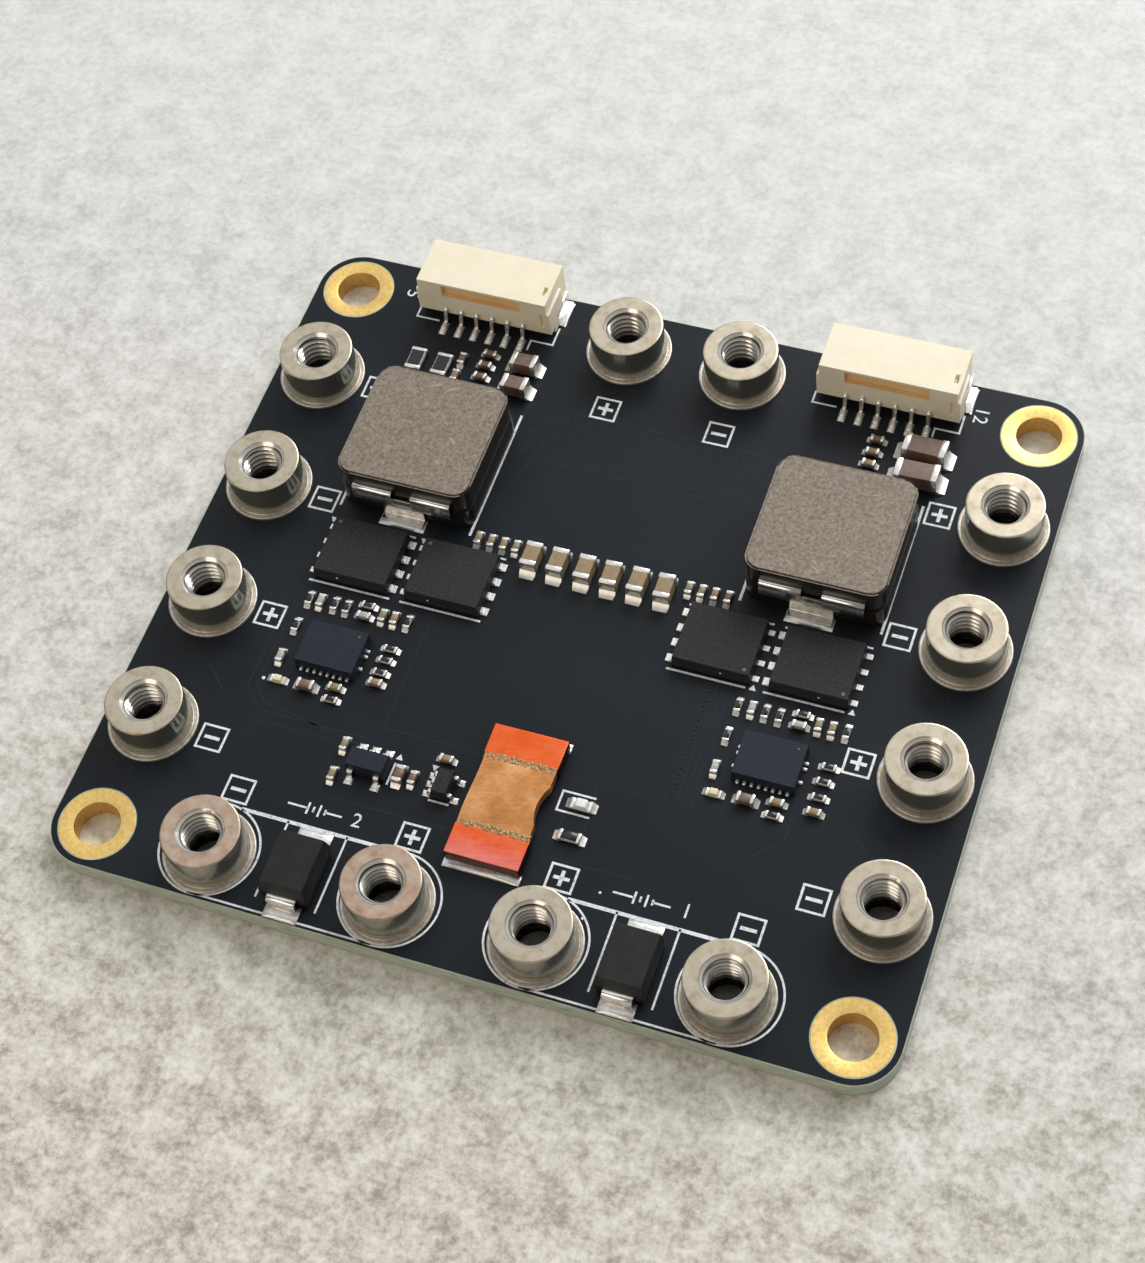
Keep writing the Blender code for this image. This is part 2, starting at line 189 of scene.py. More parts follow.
def roundEdges(piece, width, degrees):
    # small rounding, as a press or a mould leaves, on every edge sharper than the angle
    selectOnly(piece)
    soft = piece.modifiers.new("soft", "BEVEL")
    soft.width = width * mm
    soft.segments = 2
    soft.limit_method = "ANGLE"
    soft.angle_limit = math.radians(degrees)
    bpy.ops.object.modifier_apply(modifier=soft.name)


def smoothBy(piece, degrees):
    selectOnly(piece)
    bpy.ops.object.shade_smooth_by_angle(angle=math.radians(degrees))
    # big faces keep their flat shading and only the rounded edges turn
    even = piece.modifiers.new("even", "WEIGHTED_NORMAL")
    even.keep_sharp = True
    even.weight = 90
    bpy.ops.object.modifier_apply(modifier=even.name)
    return piece


def finishPiece(piece, material, slotName, *nodes):
    # gives the piece its finish and says which frame nodes it stands for
    if material:
        piece.data.materials.clear()
        piece.data.materials.append(material)
    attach(piece, "root")
    if nodes:
        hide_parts(*nodes)
    return piece


def middleOf(node):
    low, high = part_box(node)
    return (low + high) / 2 / mm


def colorOf(hexValue):
    # from the written colour to the linear values that shaders work in
    parts = [int(hexValue[i:i + 2], 16) / 255 for i in (1, 3, 5)]
    return tuple(c / 12.92 if c <= 0.04045 else ((c + 0.055) / 1.055) ** 2.4 for c in parts) + (1.0,)


def addNode(tree, kind, settings=None, links=None):
    # one node with its settings and what feeds it; stops are the colours of a ramp
    node = tree.nodes.new("ShaderNode" + kind)
    for key, value in (settings or {}).items():
        if key == "stops":
            ramp = node.color_ramp.elements
            while len(ramp) < len(value):
                ramp.new(0.5)
            for stop, (spot, color) in zip(ramp, value):
                stop.position = spot
                stop.color = colorOf(color)
        elif isinstance(key, int) or key in node.inputs:
            node.inputs[key].default_value = value
        else:
            setattr(node, key, value)
    for key, source in (links or {}).items():
        if source is not None:
            # a node handed over by itself stands for its first output
            tree.links.new(getattr(source, "outputs", [source])[0], node.inputs[key])
    return node


def newMaterial(name, settings):
    # gives back the material, a way to add nodes to it, its shader and the place of each point
    material = bpy.data.materials.new(name)
    material.use_nodes = True
    tree = material.node_tree
    tree.nodes.clear()
    shader = addNode(tree, "BsdfPrincipled", settings)
    addNode(tree, "OutputMaterial", None, {"Surface": shader})
    place = addNode(tree, "TexCoord").outputs["Object"]
    return material, partial(addNode, tree), shader, place


def joinShader(shader, color, rough, bump, metal=None):
    for socket, source in (("Base Color", color), ("Roughness", rough), ("Normal", bump),
                           ("Metallic", metal)):
        if source is not None:
            shader.id_data.links.new(getattr(source, "outputs", [source])[0], shader.inputs[socket])


def perMm(size):
    # texture scale that makes one feature the given size in mm, on coordinates in metres
    return 1 / (size * mm)


def makeBoardMask():
    # epoxy solder mask, screen printed and cured: a near-black film, smooth but faintly rippled, with a few
    # dust specks
    material, add, shader, place = newMaterial("boardMaskPrintedEpoxy",
                                               {"Roughness": 0.4, "IOR": 1.45, "Specular IOR Level": 0.22})
    cloud = add("TexNoise", {"Scale": perMm(9), "Detail": 4}, {"Vector": place})
    tint = add("ValToRGB", {"stops": [(0.3, "#161a1f"), (0.7, "#1b2127")]}, {"Fac": cloud})
    speck = add("TexVoronoi", {"Scale": perMm(2.4), "Randomness": 1.0}, {"Vector": place})
    isSpeck = add("Math", {"operation": "LESS_THAN", 1: 0.018}, {0: speck.outputs["Distance"]})
    mixed = add("Mix", {"data_type": "RGBA", 7: colorOf("#3d4246")}, {0: isSpeck, 6: tint})
    ripple = add("TexNoise", {"Scale": perMm(0.8), "Detail": 3}, {"Vector": place})
    rough = add("MapRange", {"To Min": 0.34, "To Max": 0.46}, {"Value": ripple})
    bump = add("Bump", {"Strength": 0.12, "Distance": 0.01 * mm}, {"Height": ripple})
    joinShader(shader, mixed.outputs[2], rough, bump)
    return material


def makeLaminate():
    # glass-cloth epoxy laminate, routed edge: pale greenish straw with fine layer lines and a torn, matt
    # surface
    material, add, shader, place = newMaterial("laminateRoutedGlassEpoxy", {"Roughness": 0.6, "IOR": 1.55})
    flat = add("Mapping", {"Scale": (1, 1, 9)}, {"Vector": place})
    layers = add("TexNoise", {"Scale": perMm(1.3), "Detail": 6}, {"Vector": flat})
    tint = add("ValToRGB", {"stops": [(0.3, "#8f9c8a"), (0.5, "#b4bdac"), (0.72, "#cfd2c2")]},
               {"Fac": layers})
    bump = add("Bump", {"Strength": 0.4, "Distance": 0.03 * mm}, {"Height": layers})
    joinShader(shader, tint, None, bump)
    return material


def makeTurnedSteel(name, faceColor, stainColor):
    # nickel-plated steel, turned on a lathe: rings from the tool, a mirror-like side, and a warm stain on
    # the top face
    material, add, shader, place = newMaterial(name, {"Metallic": 1.0, "Roughness": 0.2})
    own = add("Attribute", {"attribute_name": "ownPlace"}).outputs["Vector"]
    parts = add("SeparateXYZ", None, {0: own})
    flat = add("CombineXYZ", None, {0: parts, 1: parts.outputs[1]})
    reach = add("VectorMath", {"operation": "LENGTH"}, {0: flat})
    along = add("CombineXYZ", None, {0: reach.outputs["Value"], 2: parts.outputs[2]})
    rings = add("TexNoise", {"Scale": perMm(0.09), "Detail": 3}, {"Vector": along})
    cloud = add("TexNoise", {"Scale": perMm(0.9), "Detail": 6, "Roughness": 0.65}, {"Vector": place})
    stain = add("ValToRGB", {"stops": [(0.28, stainColor), (0.5, faceColor), (0.8, "#d0c6b4")]},
                {"Fac": cloud})
    onTop = add("MapRange", {"From Min": 4.42 * mm, "From Max": 4.56 * mm}, {"Value": parts.outputs[2]})
    outer = add("MapRange", {"From Min": 1.6 * mm, "From Max": 1.75 * mm},
                {"Value": reach.outputs["Value"]})
    face = add("Math", {"operation": "MULTIPLY"}, {0: onTop, 1: outer})
    # the bore: pale thread crests, painted shade in the thread roots, and painted shade near black towards
    # the bore's floor
    inBore = add("Math", {"operation": "LESS_THAN", 1: 1.7 * mm}, {0: reach.outputs["Value"]})
    root = add("MapRange", {"From Min": 1.3 * mm, "From Max": 1.46 * mm}, {"Value": reach.outputs["Value"]})
    below = add("Math", {"operation": "LESS_THAN", 1: 4.36 * mm}, {0: parts.outputs[2]})
    threadRootShade = add("Math", {"operation": "MULTIPLY"}, {0: root, 1: below})
    # painted shade: the bore's colour darkens to near black towards its floor
    deep = add("MapRange", {"From Min": 2.7 * mm, "From Max": 1.7 * mm}, {"Value": parts.outputs[2]})
    bore = add("Mix", {"data_type": "RGBA", 6: colorOf("#fdfaf2"), 7: colorOf("#5c5448")}, {0: threadRootShade})
    bore = add("Mix", {"data_type": "RGBA", 7: colorOf("#14110e")}, {0: deep, 6: bore.outputs[2]})
    side = add("Mix", {"data_type": "RGBA", 6: colorOf("#b3b2a5")}, {0: inBore, 7: bore.outputs[2]})
    mixed = add("Mix", {"data_type": "RGBA"}, {0: face, 6: side.outputs[2], 7: stain})
    rough = add("MapRange", {"To Min": 0.16, "To Max": 0.26}, {"Value": face})
    # plating dulled by flux in the bore and by handling on the side lets some light scatter
    dulled = add("MapRange", {"To Min": 0.84, "To Max": 0.6}, {"Value": inBore})
    metal = add("Mix", {"data_type": "FLOAT", 3: 0.92}, {0: face, 2: dulled})
    fine = add("Math", {"operation": "MULTIPLY", 1: 0.12}, {0: cloud})
    total = add("Math", {"operation": "ADD"}, {0: rough, 1: fine})
    bump = add("Bump", {"Strength": 0.25, "Distance": 0.012 * mm}, {"Height": rings})
    joinShader(shader, mixed.outputs[2], total, bump, metal)
    return material


def makeFloorStone():
    # honed pale stone slab: light warm grey, mottled in soft flakes with a fine matt grain
    material, add, shader, place = newMaterial("floorHonedStone", {"Roughness": 0.75, "IOR": 1.45})
    flakes = add("TexNoise", {"Scale": perMm(2.6), "Detail": 3, "Roughness": 0.6}, {"Vector": place})
    fine = add("TexNoise", {"Scale": perMm(0.62), "Detail": 4, "Roughness": 0.7}, {"Vector": place})
    blend = add("Math", {"operation": "MULTIPLY_ADD", 1: 1.2}, {0: fine, 2: flakes})
    blend = add("MapRange", {"From Min": 0.75, "From Max": 1.45}, {"Value": blend})
    tint = add("ValToRGB", {"stops": [(0.1, "#a8a192"), (0.5, "#dad4c8"), (0.85, "#f4f0e7")]},
               {"Fac": blend})
    # towards the window at the back the stone is painted paler and cooler, as painted light falling off
    # across the floor, and its mottling fades
    axes = add("SeparateXYZ", None, {0: place})
    windowSideLight = add("MapRange", {"From Min": -45 * mm, "From Max": 45 * mm, "To Max": 0.62},
               {"Value": axes.outputs[1]})
    floorPaintedLight = add("Mix", {"data_type": "RGBA", 7: colorOf("#e6e9ea")}, {0: windowSideLight, 6: tint})
    bump = add("Bump", {"Strength": 0.15, "Distance": 0.05 * mm}, {"Height": fine})
    joinShader(shader, floorPaintedLight.outputs[2], None, bump)
    return material


def makeMottled(name, settings, stops, cloud, rough, bump=(0.2, 0.02), grain=None):
    # colour, gloss and bump drift together over one cloud; a grain of its own can carry the bump instead
    material, add, shader, place = newMaterial(name, settings)
    drift = add("TexNoise", cloud, {"Vector": place})
    tint = add("ValToRGB", {"stops": stops}, {"Fac": drift})
    if rough:
        rough = add("MapRange", {"To Min": rough[0], "To Max": rough[1]}, {"Value": drift})
    if grain:
        drift = add("TexNoise", grain, {"Vector": place})
    relief = add("Bump", {"Strength": bump[0], "Distance": bump[1] * mm}, {"Height": drift})
    joinShader(shader, tint, rough, relief)
    return material


def makeSpeckled(name, settings, low, high, size, bumpSize, bumpStrength):
    # a body colour that drifts between two tones over the given size in mm, with its own fine bump
    gloss = settings["Roughness"]
    return makeMottled(name, settings, [(0.3, low), (0.7, high)],
                       {"Scale": perMm(size), "Detail": 6, "Roughness": 0.62}, (gloss - 0.07, gloss + 0.07),
                       (bumpStrength, 0.02), {"Scale": perMm(bumpSize), "Detail": 3})


def makeCoilGround():
    # pressed iron powder in resin, ground flat: warm taupe, finely pitted, with pale scratches from
    # handling
    material, add, shader, place = newMaterial("ironPowderGround",
                                               {"Roughness": 0.55, "IOR": 1.5, "Metallic": 0.15,
                                                "Specular IOR Level": 0.3})
    cloud = add("TexNoise", {"Scale": perMm(0.22), "Detail": 4, "Roughness": 0.7}, {"Vector": place})
    tint = add("ValToRGB", {"stops": [(0.3, "#675c50"), (0.5, "#8b7f71"), (0.7, "#a69a8a")]},
               {"Fac": cloud})
    total = None
    for turn, length, cut in ((25, 12, 0.765), (-38, 9, 0.755), (72, 10, 0.76)):
        aim = add("Mapping", {"vector_type": "TEXTURE", "Rotation": (0, 0, math.radians(turn)),
                              "Scale": (length, 1, 1)}, {"Vector": place})
        lines = add("TexNoise", {"Scale": perMm(0.16), "Detail": 1}, {"Vector": aim})
        patch = add("TexNoise", {"Scale": perMm(2.6), "Detail": 1}, {"Vector": aim})
        both = add("Math", {"operation": "MULTIPLY_ADD", 1: 0.3}, {0: patch, 2: lines})
        mark = add("MapRange", {"From Min": cut + 0.12, "From Max": cut + 0.2}, {"Value": both})
        if total is None:
            total = mark
        else:
            total = add("Math", {"operation": "MAXIMUM"}, {0: total, 1: mark})
    mixed = add("Mix", {"data_type": "RGBA", 7: colorOf("#b5ada0")}, {0: total, 6: tint})
    bump = add("Bump", {"Strength": 0.35, "Distance": 0.02 * mm}, {"Height": cloud})
    joinShader(shader, mixed.outputs[2], None, bump)
    return material


def makeBrushed(name, settings, stops, streak, angle, sideShade=None, backColor=None, frontColor=None):
    # a metal with a drifting oxide colour and fine streaks along one direction, streak gives their width in
    # mm
    material, add, shader, place = newMaterial(name, settings)
    cloud = add("TexNoise", {"Scale": perMm(1.9), "Detail": 5, "Roughness": 0.6}, {"Vector": place})
    aim = add("Mapping", {"vector_type": "TEXTURE", "Rotation": (0, 0, math.radians(angle)),
                          "Scale": (6, 1, 1)}, {"Vector": place})
    lines = add("TexNoise", {"Scale": perMm(streak), "Detail": 5, "Roughness": 0.7}, {"Vector": aim})
    blend = add("Mix", {"data_type": "FLOAT", 0: 0.45}, {2: cloud, 3: lines})
    tint = add("ValToRGB", {"stops": stops}, {"Fac": blend})
    rough = add("MapRange", {"To Min": settings["Roughness"] - 0.08,
                             "To Max": settings["Roughness"] + 0.12}, {"Value": lines})
    bump = add("Bump", {"Strength": 0.3, "Distance": 0.02 * mm}, {"Height": lines})
    color = tint
    if backColor:
        # the hue drifts along the part, then falls to a dark side colour, painted shade, where the surface
        # turns down
        axes = add("SeparateXYZ", {}, {"Vector": place})
        along = add("MapRange", {"From Min": -19.2 * mm, "From Max": -17.6 * mm, "To Max": 0.6},
                    {"Value": axes.outputs[1]})
        end = add("MapRange", {"From Min": -18.4 * mm, "From Max": -20.2 * mm, "To Max": 0.8},
                  {"Value": axes.outputs[1]})
        drift = add("Mix", {"data_type": "RGBA", 7: colorOf(backColor)}, {0: along, 6: color})
        drift = add("Mix", {"data_type": "RGBA", 7: colorOf(frontColor)}, {0: end, 6: drift.outputs[2]})
        facing = add("NewGeometry")
        slope = add("SeparateXYZ", {}, {"Vector": facing.outputs["True Normal"]})
        sideShadeAmount = add("MapRange", {"From Min": 0.93, "From Max": 0.6}, {"Value": slope.outputs[2]})
        shadedSides = add("Mix", {"data_type": "RGBA", 7: colorOf(sideShade)}, {0: sideShadeAmount, 6: drift.outputs[2]})
        color = shadedSides.outputs[2]
    joinShader(shader, color, rough, bump)
    return material


boardMask = makeBoardMask()
laminate = makeLaminate()
steelGrey = makeTurnedSteel("steelTurnedGreyFace", "#c4b8a2", "#a89a80")
steelBrown = makeTurnedSteel("steelTurnedBrownFace", "#c1a791", "#a5876f")
# thin gold plated over nickel: warm, softly mirror-like, with a fine grain from the copper below
gold = makeMottled("goldPlatedCopper", {"Metallic": 1.0, "Roughness": 0.34},
                   [(0.3, "#e9bd6a"), (0.7, "#f8d88c")],
                   {"Scale": perMm(0.25), "Detail": 4}, (0.3, 0.44), (0.12, 0.01))
# epoxy legend ink, screen printed: off-white, slightly see-through and ragged where it thins
ink = makeMottled("legendInkPrinted", {"Roughness": 0.55, "IOR": 1.5},
                  [(0.28, "#a9b3b8"), (0.44, "#e6ecee"), (0.7, "#fbfdfd")],
                  {"Scale": perMm(0.22), "Detail": 5}, None, (0.3, 0.01))
# lead-free solder, reflowed: bright grey, wetted smooth with a faint frosty grain
frost = {"Scale": perMm(0.35), "Detail": 5}
solder = makeMottled("solderReflowed", {"Metallic": 0.68, "Roughness": 0.3},
                     [(0.3, "#dcd9d2"), (0.7, "#fbfaf6")], frost, (0.26, 0.46))
# the same solder drawn thin round hot brass and steel: greyer and warmer
solderDull = makeMottled("solderDrawnThin", {"Metallic": 0.68, "Roughness": 0.3},
                         [(0.3, "#b6ad9f"), (0.7, "#d6cfc2")], frost, (0.26, 0.46))
# mask cured over raised copper: the same ink, a shade lighter and glossier where it is stretched thin
boardRelief = makeSpeckled("boardMaskOverCopper",
                           {"Roughness": 0.34, "IOR": 1.45, "Specular IOR Level": 0.28}, "#1a1f24",
                           "#21272d", 3, 0.8, 0.1)
# side of the pressed powder block: sealed with dark varnish, smooth and glossy, its dark tone deepened as
# painted shade on the sides
coilSideDarkAndShade = makeSpeckled("ironPowderVarnishedPaintedShade", {"Roughness": 0.3, "IOR": 1.5}, "#15120f", "#241f1b", 0.8,
                        0.3, 0.2)
coilGround = makeCoilGround()
# bright tin plated on copper strip, rolled: silvery, mirror-like with soft frosting
tinPlate = makeSpeckled("tinPlatedCopper", {"Roughness": 0.24, "Metallic": 0.8}, "#d8d4cd", "#f6f3ee", 0.4,
                        0.3, 0.06)
# the same plating on heavy strip, polished by the rollers: a clean mirror, bright above and dark where it
# faces the board
tinStrip = makeSpeckled("tinPlatedRolledStrip", {"Roughness": 0.2, "Metallic": 1.0}, "#dcd9d2", "#f6f4ef",
                        0.5, 0.3, 0.08)
# transfer-moulded epoxy with glass filler: charcoal, matt and finely sparkling
mouldedBlack = makeSpeckled("epoxyMouldedCharcoal",
                            {"Roughness": 0.62, "IOR": 1.5, "Specular IOR Level": 0.25}, "#181818",
                            "#383736", 0.17, 0.09, 0.35)
# the same epoxy from a polished mould: near black, smooth, with only a faint drift
mouldedSmooth = makeSpeckled("epoxyMouldedBlack",
                             {"Roughness": 0.5, "IOR": 1.5, "Specular IOR Level": 0.3}, "#121212",
                             "#242322", 0.9, 0.12, 0.15)
# the same moulding epoxy in a bluer batch, sawn apart: slate with a satin top
mouldedSlate = makeSpeckled("epoxyMouldedSlate",
                            {"Roughness": 0.55, "IOR": 1.5, "Specular IOR Level": 0.25}, "#181d27",
                            "#272e3b", 0.14, 0.09, 0.3)
# spot burnt by a marking laser: dusty grey and fully matt
laserMark = makeSpeckled("epoxyLaserBurnt", {"Roughness": 0.75, "IOR": 1.5}, "#5a5a58", "#777775", 0.08,
                         0.06, 0.4)
# injection-moulded polyamide, undyed: cream, slightly waxy, light soaks a little way in
nylonIvory = makeSpeckled("polyamideMouldedCream",
                          {"Roughness": 0.42, "IOR": 1.53, "Subsurface Weight": 0.25,
                          "Subsurface Scale": 0.4 * mm, "Subsurface Radius": (1.0, 0.7, 0.4)}, "#fbedcf",
                          "#fff6dd", 1.6, 0.5, 0.1)
# the same polyamide in its rear pocket, with painted light and shade: amber where light passing through the
# wall would show, and darker deep in the pocket
nylonPocketPaintedLight = makeSpeckled("polyamidePocketPaintedLight", {"Roughness": 0.5, "IOR": 1.53, "Subsurface Weight": 0.25,
                         "Subsurface Scale": 0.4 * mm, "Subsurface Radius": (1.0, 0.6, 0.3)}, "#efc588",
                         "#f8dba8", 1.2, 0.5, 0.12)
# copper block, saw-cut and heat tinted: orange with pink and deeper red drifts and fine drawn lines, and
# dark maroon sides that are painted shade
copperWorn = makeBrushed("copperSawnHeatTinted", {"Roughness": 0.3, "Metallic": 1.0},
                         [(0.3, "#bc3c20"), (0.45, "#ea5836"), (0.58, "#f5785a"), (0.76, "#fcb09c")], 0.14,
                         12,
                         "#5a2016", "#f4702e", "#f0968c")
# copper-manganese resistance strip, rolled and brushed: dull tan with crossing hairlines
manganinBrushed = makeBrushed("manganinRolledBrushed", {"Roughness": 0.42, "Metallic": 0.8},
                              [(0.3, "#a06a3a"), (0.48, "#cc8d54"), (0.68, "#e6b07c")], 0.1, 28)
# electron-beam weld: burnt, beaded and dull
seamOxide = makeSpeckled("weldSeamBeaded", {"Roughness": 0.5, "Metallic": 0.7}, "#85653e", "#cfae80", 0.18,
                         0.1, 0.6)
# fired ceramic dielectrics, tumbled: matt, finely mottled
ceramics = {
    "tan": makeSpeckled("ceramicFiredTan", {"Roughness": 0.5, "IOR": 1.6}, "#8a7450", "#a48d66", 0.3, 0.12,
                        0.25),
    "brown": makeSpeckled("ceramicFiredBrown", {"Roughness": 0.45, "IOR": 1.6}, "#6b5142", "#866a5a", 0.3,
                          0.12, 0.25),
    "olive": makeSpeckled("ceramicFiredOlive", {"Roughness": 0.5, "IOR": 1.6}, "#7d7659", "#9a9273", 0.3,
                          0.12, 0.25),
    "grey": makeSpeckled("ceramicFiredGrey", {"Roughness": 0.5, "IOR": 1.6}, "#a5a39c", "#c4c2ba", 0.3,
                         0.12, 0.25),
}
# alumina substrate, fired: white and chalky
alumina = makeSpeckled("aluminaFired", {"Roughness": 0.55, "IOR": 1.7}, "#b4b3ad", "#d2d1cb", 0.3, 0.12,
                       0.2)
# overglaze on the resistor film, fired glass: glossy black
resistorGlaze = makeSpeckled("glassGlazeFired", {"Roughness": 0.25, "IOR": 1.52}, "#141414", "#222222",
                             0.2, 0.1, 0.2)
# moulded clear epoxy over white phosphor and over cream phosphor
lensWhite = makeSpeckled("epoxyLensWhite",
                         {"Roughness": 0.25, "IOR": 1.5, "Subsurface Weight": 0.3,
                          "Subsurface Scale": 0.2 * mm},
                         "#f0f1ee", "#ffffff", 0.3, 0.2, 0.1)
lensCream = makeSpeckled("epoxyLensCream",
                         {"Roughness": 0.25, "IOR": 1.5, "Subsurface Weight": 0.3,
                          "Subsurface Scale": 0.2 * mm},
                         "#e8dcae", "#fbf3d3", 0.3, 0.2, 0.1)
print("materials made")


# board: a laminate core between two printed masks, with plated mounting holes
boardSizes = {
    "length": 60.0, "width": 55.0, "thickness": 1.6, "cornerRadius": 3.25,
    "mask": 0.03,            # thickness of each printed mask
    "maskBack": 0.05,        # how far the mask stops short of the routed edge
    "holes": [(x, y) for x in (-26.75, 26.75) for y in (-24.25, 24.25)],
    "holeRadius": 1.65, "ringRadius": 2.7, "ringPlate": 0.035, "pilotRadius": 2.2,
}
boardTop = boardSizes["thickness"]
terminalNodes = sorted(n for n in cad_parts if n.startswith("terminal_"))


def addPlate(name, low, high, inset=0.0):
    # a rounded rectangle of the board's outline between two heights
    b = boardSizes
    plate = addBlock(name, (0, 0, (low + high) / 2),
                     (b["length"] - 2 * inset, b["width"] - 2 * inset, high - low))
    editMesh(plate)
    pickEdges(plate, lambda a, c: abs(a.z - c.z) > (high - low) / 2)
    bpy.ops.mesh.bevel(offset=(b["cornerRadius"] - inset) * mm, segments=14, affect="EDGES")
    return leaveEdit()


def addRods(places, radius, points=48):
    return joinAll([addRod(x, y, 0, radius, 6, points) for x, y in places], "rods")


def makeBoard():
    b = boardSizes
    pilots = [tuple(middleOf(node))[:2] for node in terminalNodes]
    core = addPlate("boardCore", 0.012, boardTop - 0.012)
    cutWith(core, addRods(b["holes"], b["holeRadius"] + 0.02))
    cutWith(core, addRods(pilots, b["pilotRadius"] + 0.05))
    masks = []
    for name, low, high in (("maskTop", boardTop - b["mask"], boardTop), ("maskUnder", 0.0, b["mask"])):
        mask = addPlate(name, low, high, b["maskBack"])
        cutWith(mask, addRods(b["holes"], b["ringRadius"] + 0.08, 64))
        cutWith(mask, addRods(pilots, b["pilotRadius"] + 0.75, 64))
        masks.append(mask)
    finishPiece(core, laminate, "board_mask", "board")
    for mask in masks:
        finishPiece(mask, boardMask, "board_mask")
    # plated rings: barrel wall and a flat ring on each face, one closed turned shape
    r, outer, plate = b["holeRadius"], b["ringRadius"], b["ringPlate"]
    ring = addTurned("mountingRing", [
        (r, plate * 0.4), (r, boardTop - plate * 0.4), (r + 0.03, boardTop - 0.004),
        (outer - 0.02, boardTop - 0.004),
        (outer, boardTop - 0.02), (outer, boardTop - plate), (r + 0.08, boardTop - plate),
        (r + 0.08, plate),
        (outer, plate), (outer, 0.02), (outer - 0.02, 0.004), (r + 0.03, 0.004), (r, plate * 0.4)], 64)
    smoothBy(ring, 30)
    rings = [copyTo(ring, f"mountingRing_{i + 1}", (x, y, 0)) for i, (x, y) in enumerate(b["holes"])]
    removePattern(ring)
    for piece in rings:
        finishPiece(piece, gold, "board_mask")

    # tinned pads round the terminals' holes, on the underside
    inner, outer = b["pilotRadius"] + 0.05, b["pilotRadius"] + 0.72
    pad = addTurned("pad", [(inner, 0.004), (outer, 0.004), (outer, 0.026), (inner, 0.026),
                            (inner, 0.004)], 48)
    smoothBy(pad, 30)
    finishPiece(joinAll([copyTo(pad, "pad", (x, y, 0)) for x, y in pilots], "undersidePads"), solder, "tin")
    removePattern(pad)


makeBoard()
print("board made")


# threaded terminals: turned steel nuts, pilot through the board, soldered all round
terminalSizes = {
    "radius": 2.78, "height": 3.0, "seat": 1.7, "underside": 0.2, "pilotRadius": 2.1,
    "boreRadius": 1.25, "rootRadius": 1.53, "pitch": 0.5, "mouthRadius": 1.68, "mouthDepth": 0.2,
    "edgeBreak": 0.12, "turnsOf": 8,     # turnsOf is how many rings of points draw each turn of thread
    "filletRadius": 3.25, "filletHeight": 0.5,
}


def makeTerminalPattern():
    t = terminalSizes
    top = boardTop + t["height"]
    threadTop = top - t["mouthDepth"]
    threadLow = t["underside"] + 0.25
    steps = int((threadTop - threadLow) / t["pitch"] * t["turnsOf"])
    rings = [(t["boreRadius"] + 0.25, t["underside"]), (t["pilotRadius"] - 0.08, t["underside"]),
             (t["pilotRadius"], t["underside"] + 0.08), (t["pilotRadius"], t["seat"]),
             (t["radius"] - 0.06, t["seat"]), (t["radius"], t["seat"] + 0.06),
             (t["radius"], top - t["edgeBreak"]), (t["radius"] - 0.035, top - 0.035),
             (t["radius"] - t["edgeBreak"], top), (t["radius"] - t["edgeBreak"] - 0.03, top),
             (t["mouthRadius"] + 0.06, top), (t["mouthRadius"] + 0.03, top), (t["mouthRadius"], top - 0.03)]
    rings += [(t["boreRadius"] + 0.1,
               threadTop - (threadTop - threadLow) * i / steps) for i in range(steps + 1)]
    rings.append((t["boreRadius"] + 0.25, t["underside"]))
    body = addTurned("terminalPattern", rings, 48)
    # the thread: each point of the bore moves in or out with its place along the helix
    depth = t["rootRadius"] - t["boreRadius"]
    for point in body.data.vertices:
        spot = point.co / mm
        reach = math.hypot(spot.x, spot.y)
        if abs(reach - t["boreRadius"] - 0.1) > 0.02:
            continue
        turn = math.atan2(spot.y, spot.x) / (2 * math.pi)
        wave = abs(((spot.z / t["pitch"] - turn) % 1.0) * 2 - 1)
        wave = min(max((wave - 0.12) / 0.76, 0), 1)
        fade = min(1.0, (spot.z - threadLow) / 0.3)
        newReach = t["boreRadius"] + depth * (1 - wave * max(fade, 0))
        newReach = max(newReach, t["mouthRadius"] - (top - spot.z - 0.02) * 0.95)
        point.co.x *= newReach / reach
        point.co.y *= newReach / reach
    rememberPlace(body)
    return smoothBy(body, 28)


def makeFilletPattern():
    # the solder collar: a round-shouldered ring on the pad, a shallow groove, then a thin climb up the
    # terminal's side
    t = terminalSizes
    edge, side = t["filletRadius"], t["radius"]
    rings = [(t["pilotRadius"] + 0.1, boardTop - 0.02), (edge, boardTop - 0.02), (edge, boardTop + 0.12)]
    for i in range(1, 6):
        u = math.radians(18 * i)
        rings.append((edge - 0.1 + 0.1 * math.cos(u), boardTop + 0.12 + 0.08 * math.sin(u)))
    rings += [(edge - 0.24, boardTop + 0.2), (edge - 0.29, boardTop + 0.17), (edge - 0.33, boardTop + 0.11),
              (edge - 0.37, boardTop + 0.12), (side + 0.05, boardTop + 0.22),
              (side + 0.02, boardTop + 0.34),
              (side + 0.008, boardTop + t["filletHeight"]), (side - 0.05, boardTop + t["filletHeight"]),
              (side - 0.05, boardTop + 0.05), (t["pilotRadius"] + 0.1, boardTop + 0.05),
              (t["pilotRadius"] + 0.1, boardTop - 0.02)]
    return smoothBy(rememberPlace(addTurned("filletPattern", rings, 48)), 50)


def makeTerminals():
    pattern = makeTerminalPattern()
    fillet = makeFilletPattern()
    collars = []
    for number, node in enumerate(terminalNodes):
        spot = middleOf(node)
        turn = (number * 137.5) % 360
        brown = node.startswith("terminal_battery_left")
        body = copyTo(pattern, "threaded" + node[8:], (spot.x, spot.y, 0), turn)
        finishPiece(body, steelBrown if brown else steelGrey, "terminal_plate", node)
        collars.append(copyTo(fillet, "collar", (spot.x, spot.y, 0), turn))
    finishPiece(joinAll(collars, "terminalSolder"), solderDull, "tin")
    removePattern(pattern, fillet)


makeTerminals()
print("terminals made:", len(terminalNodes))


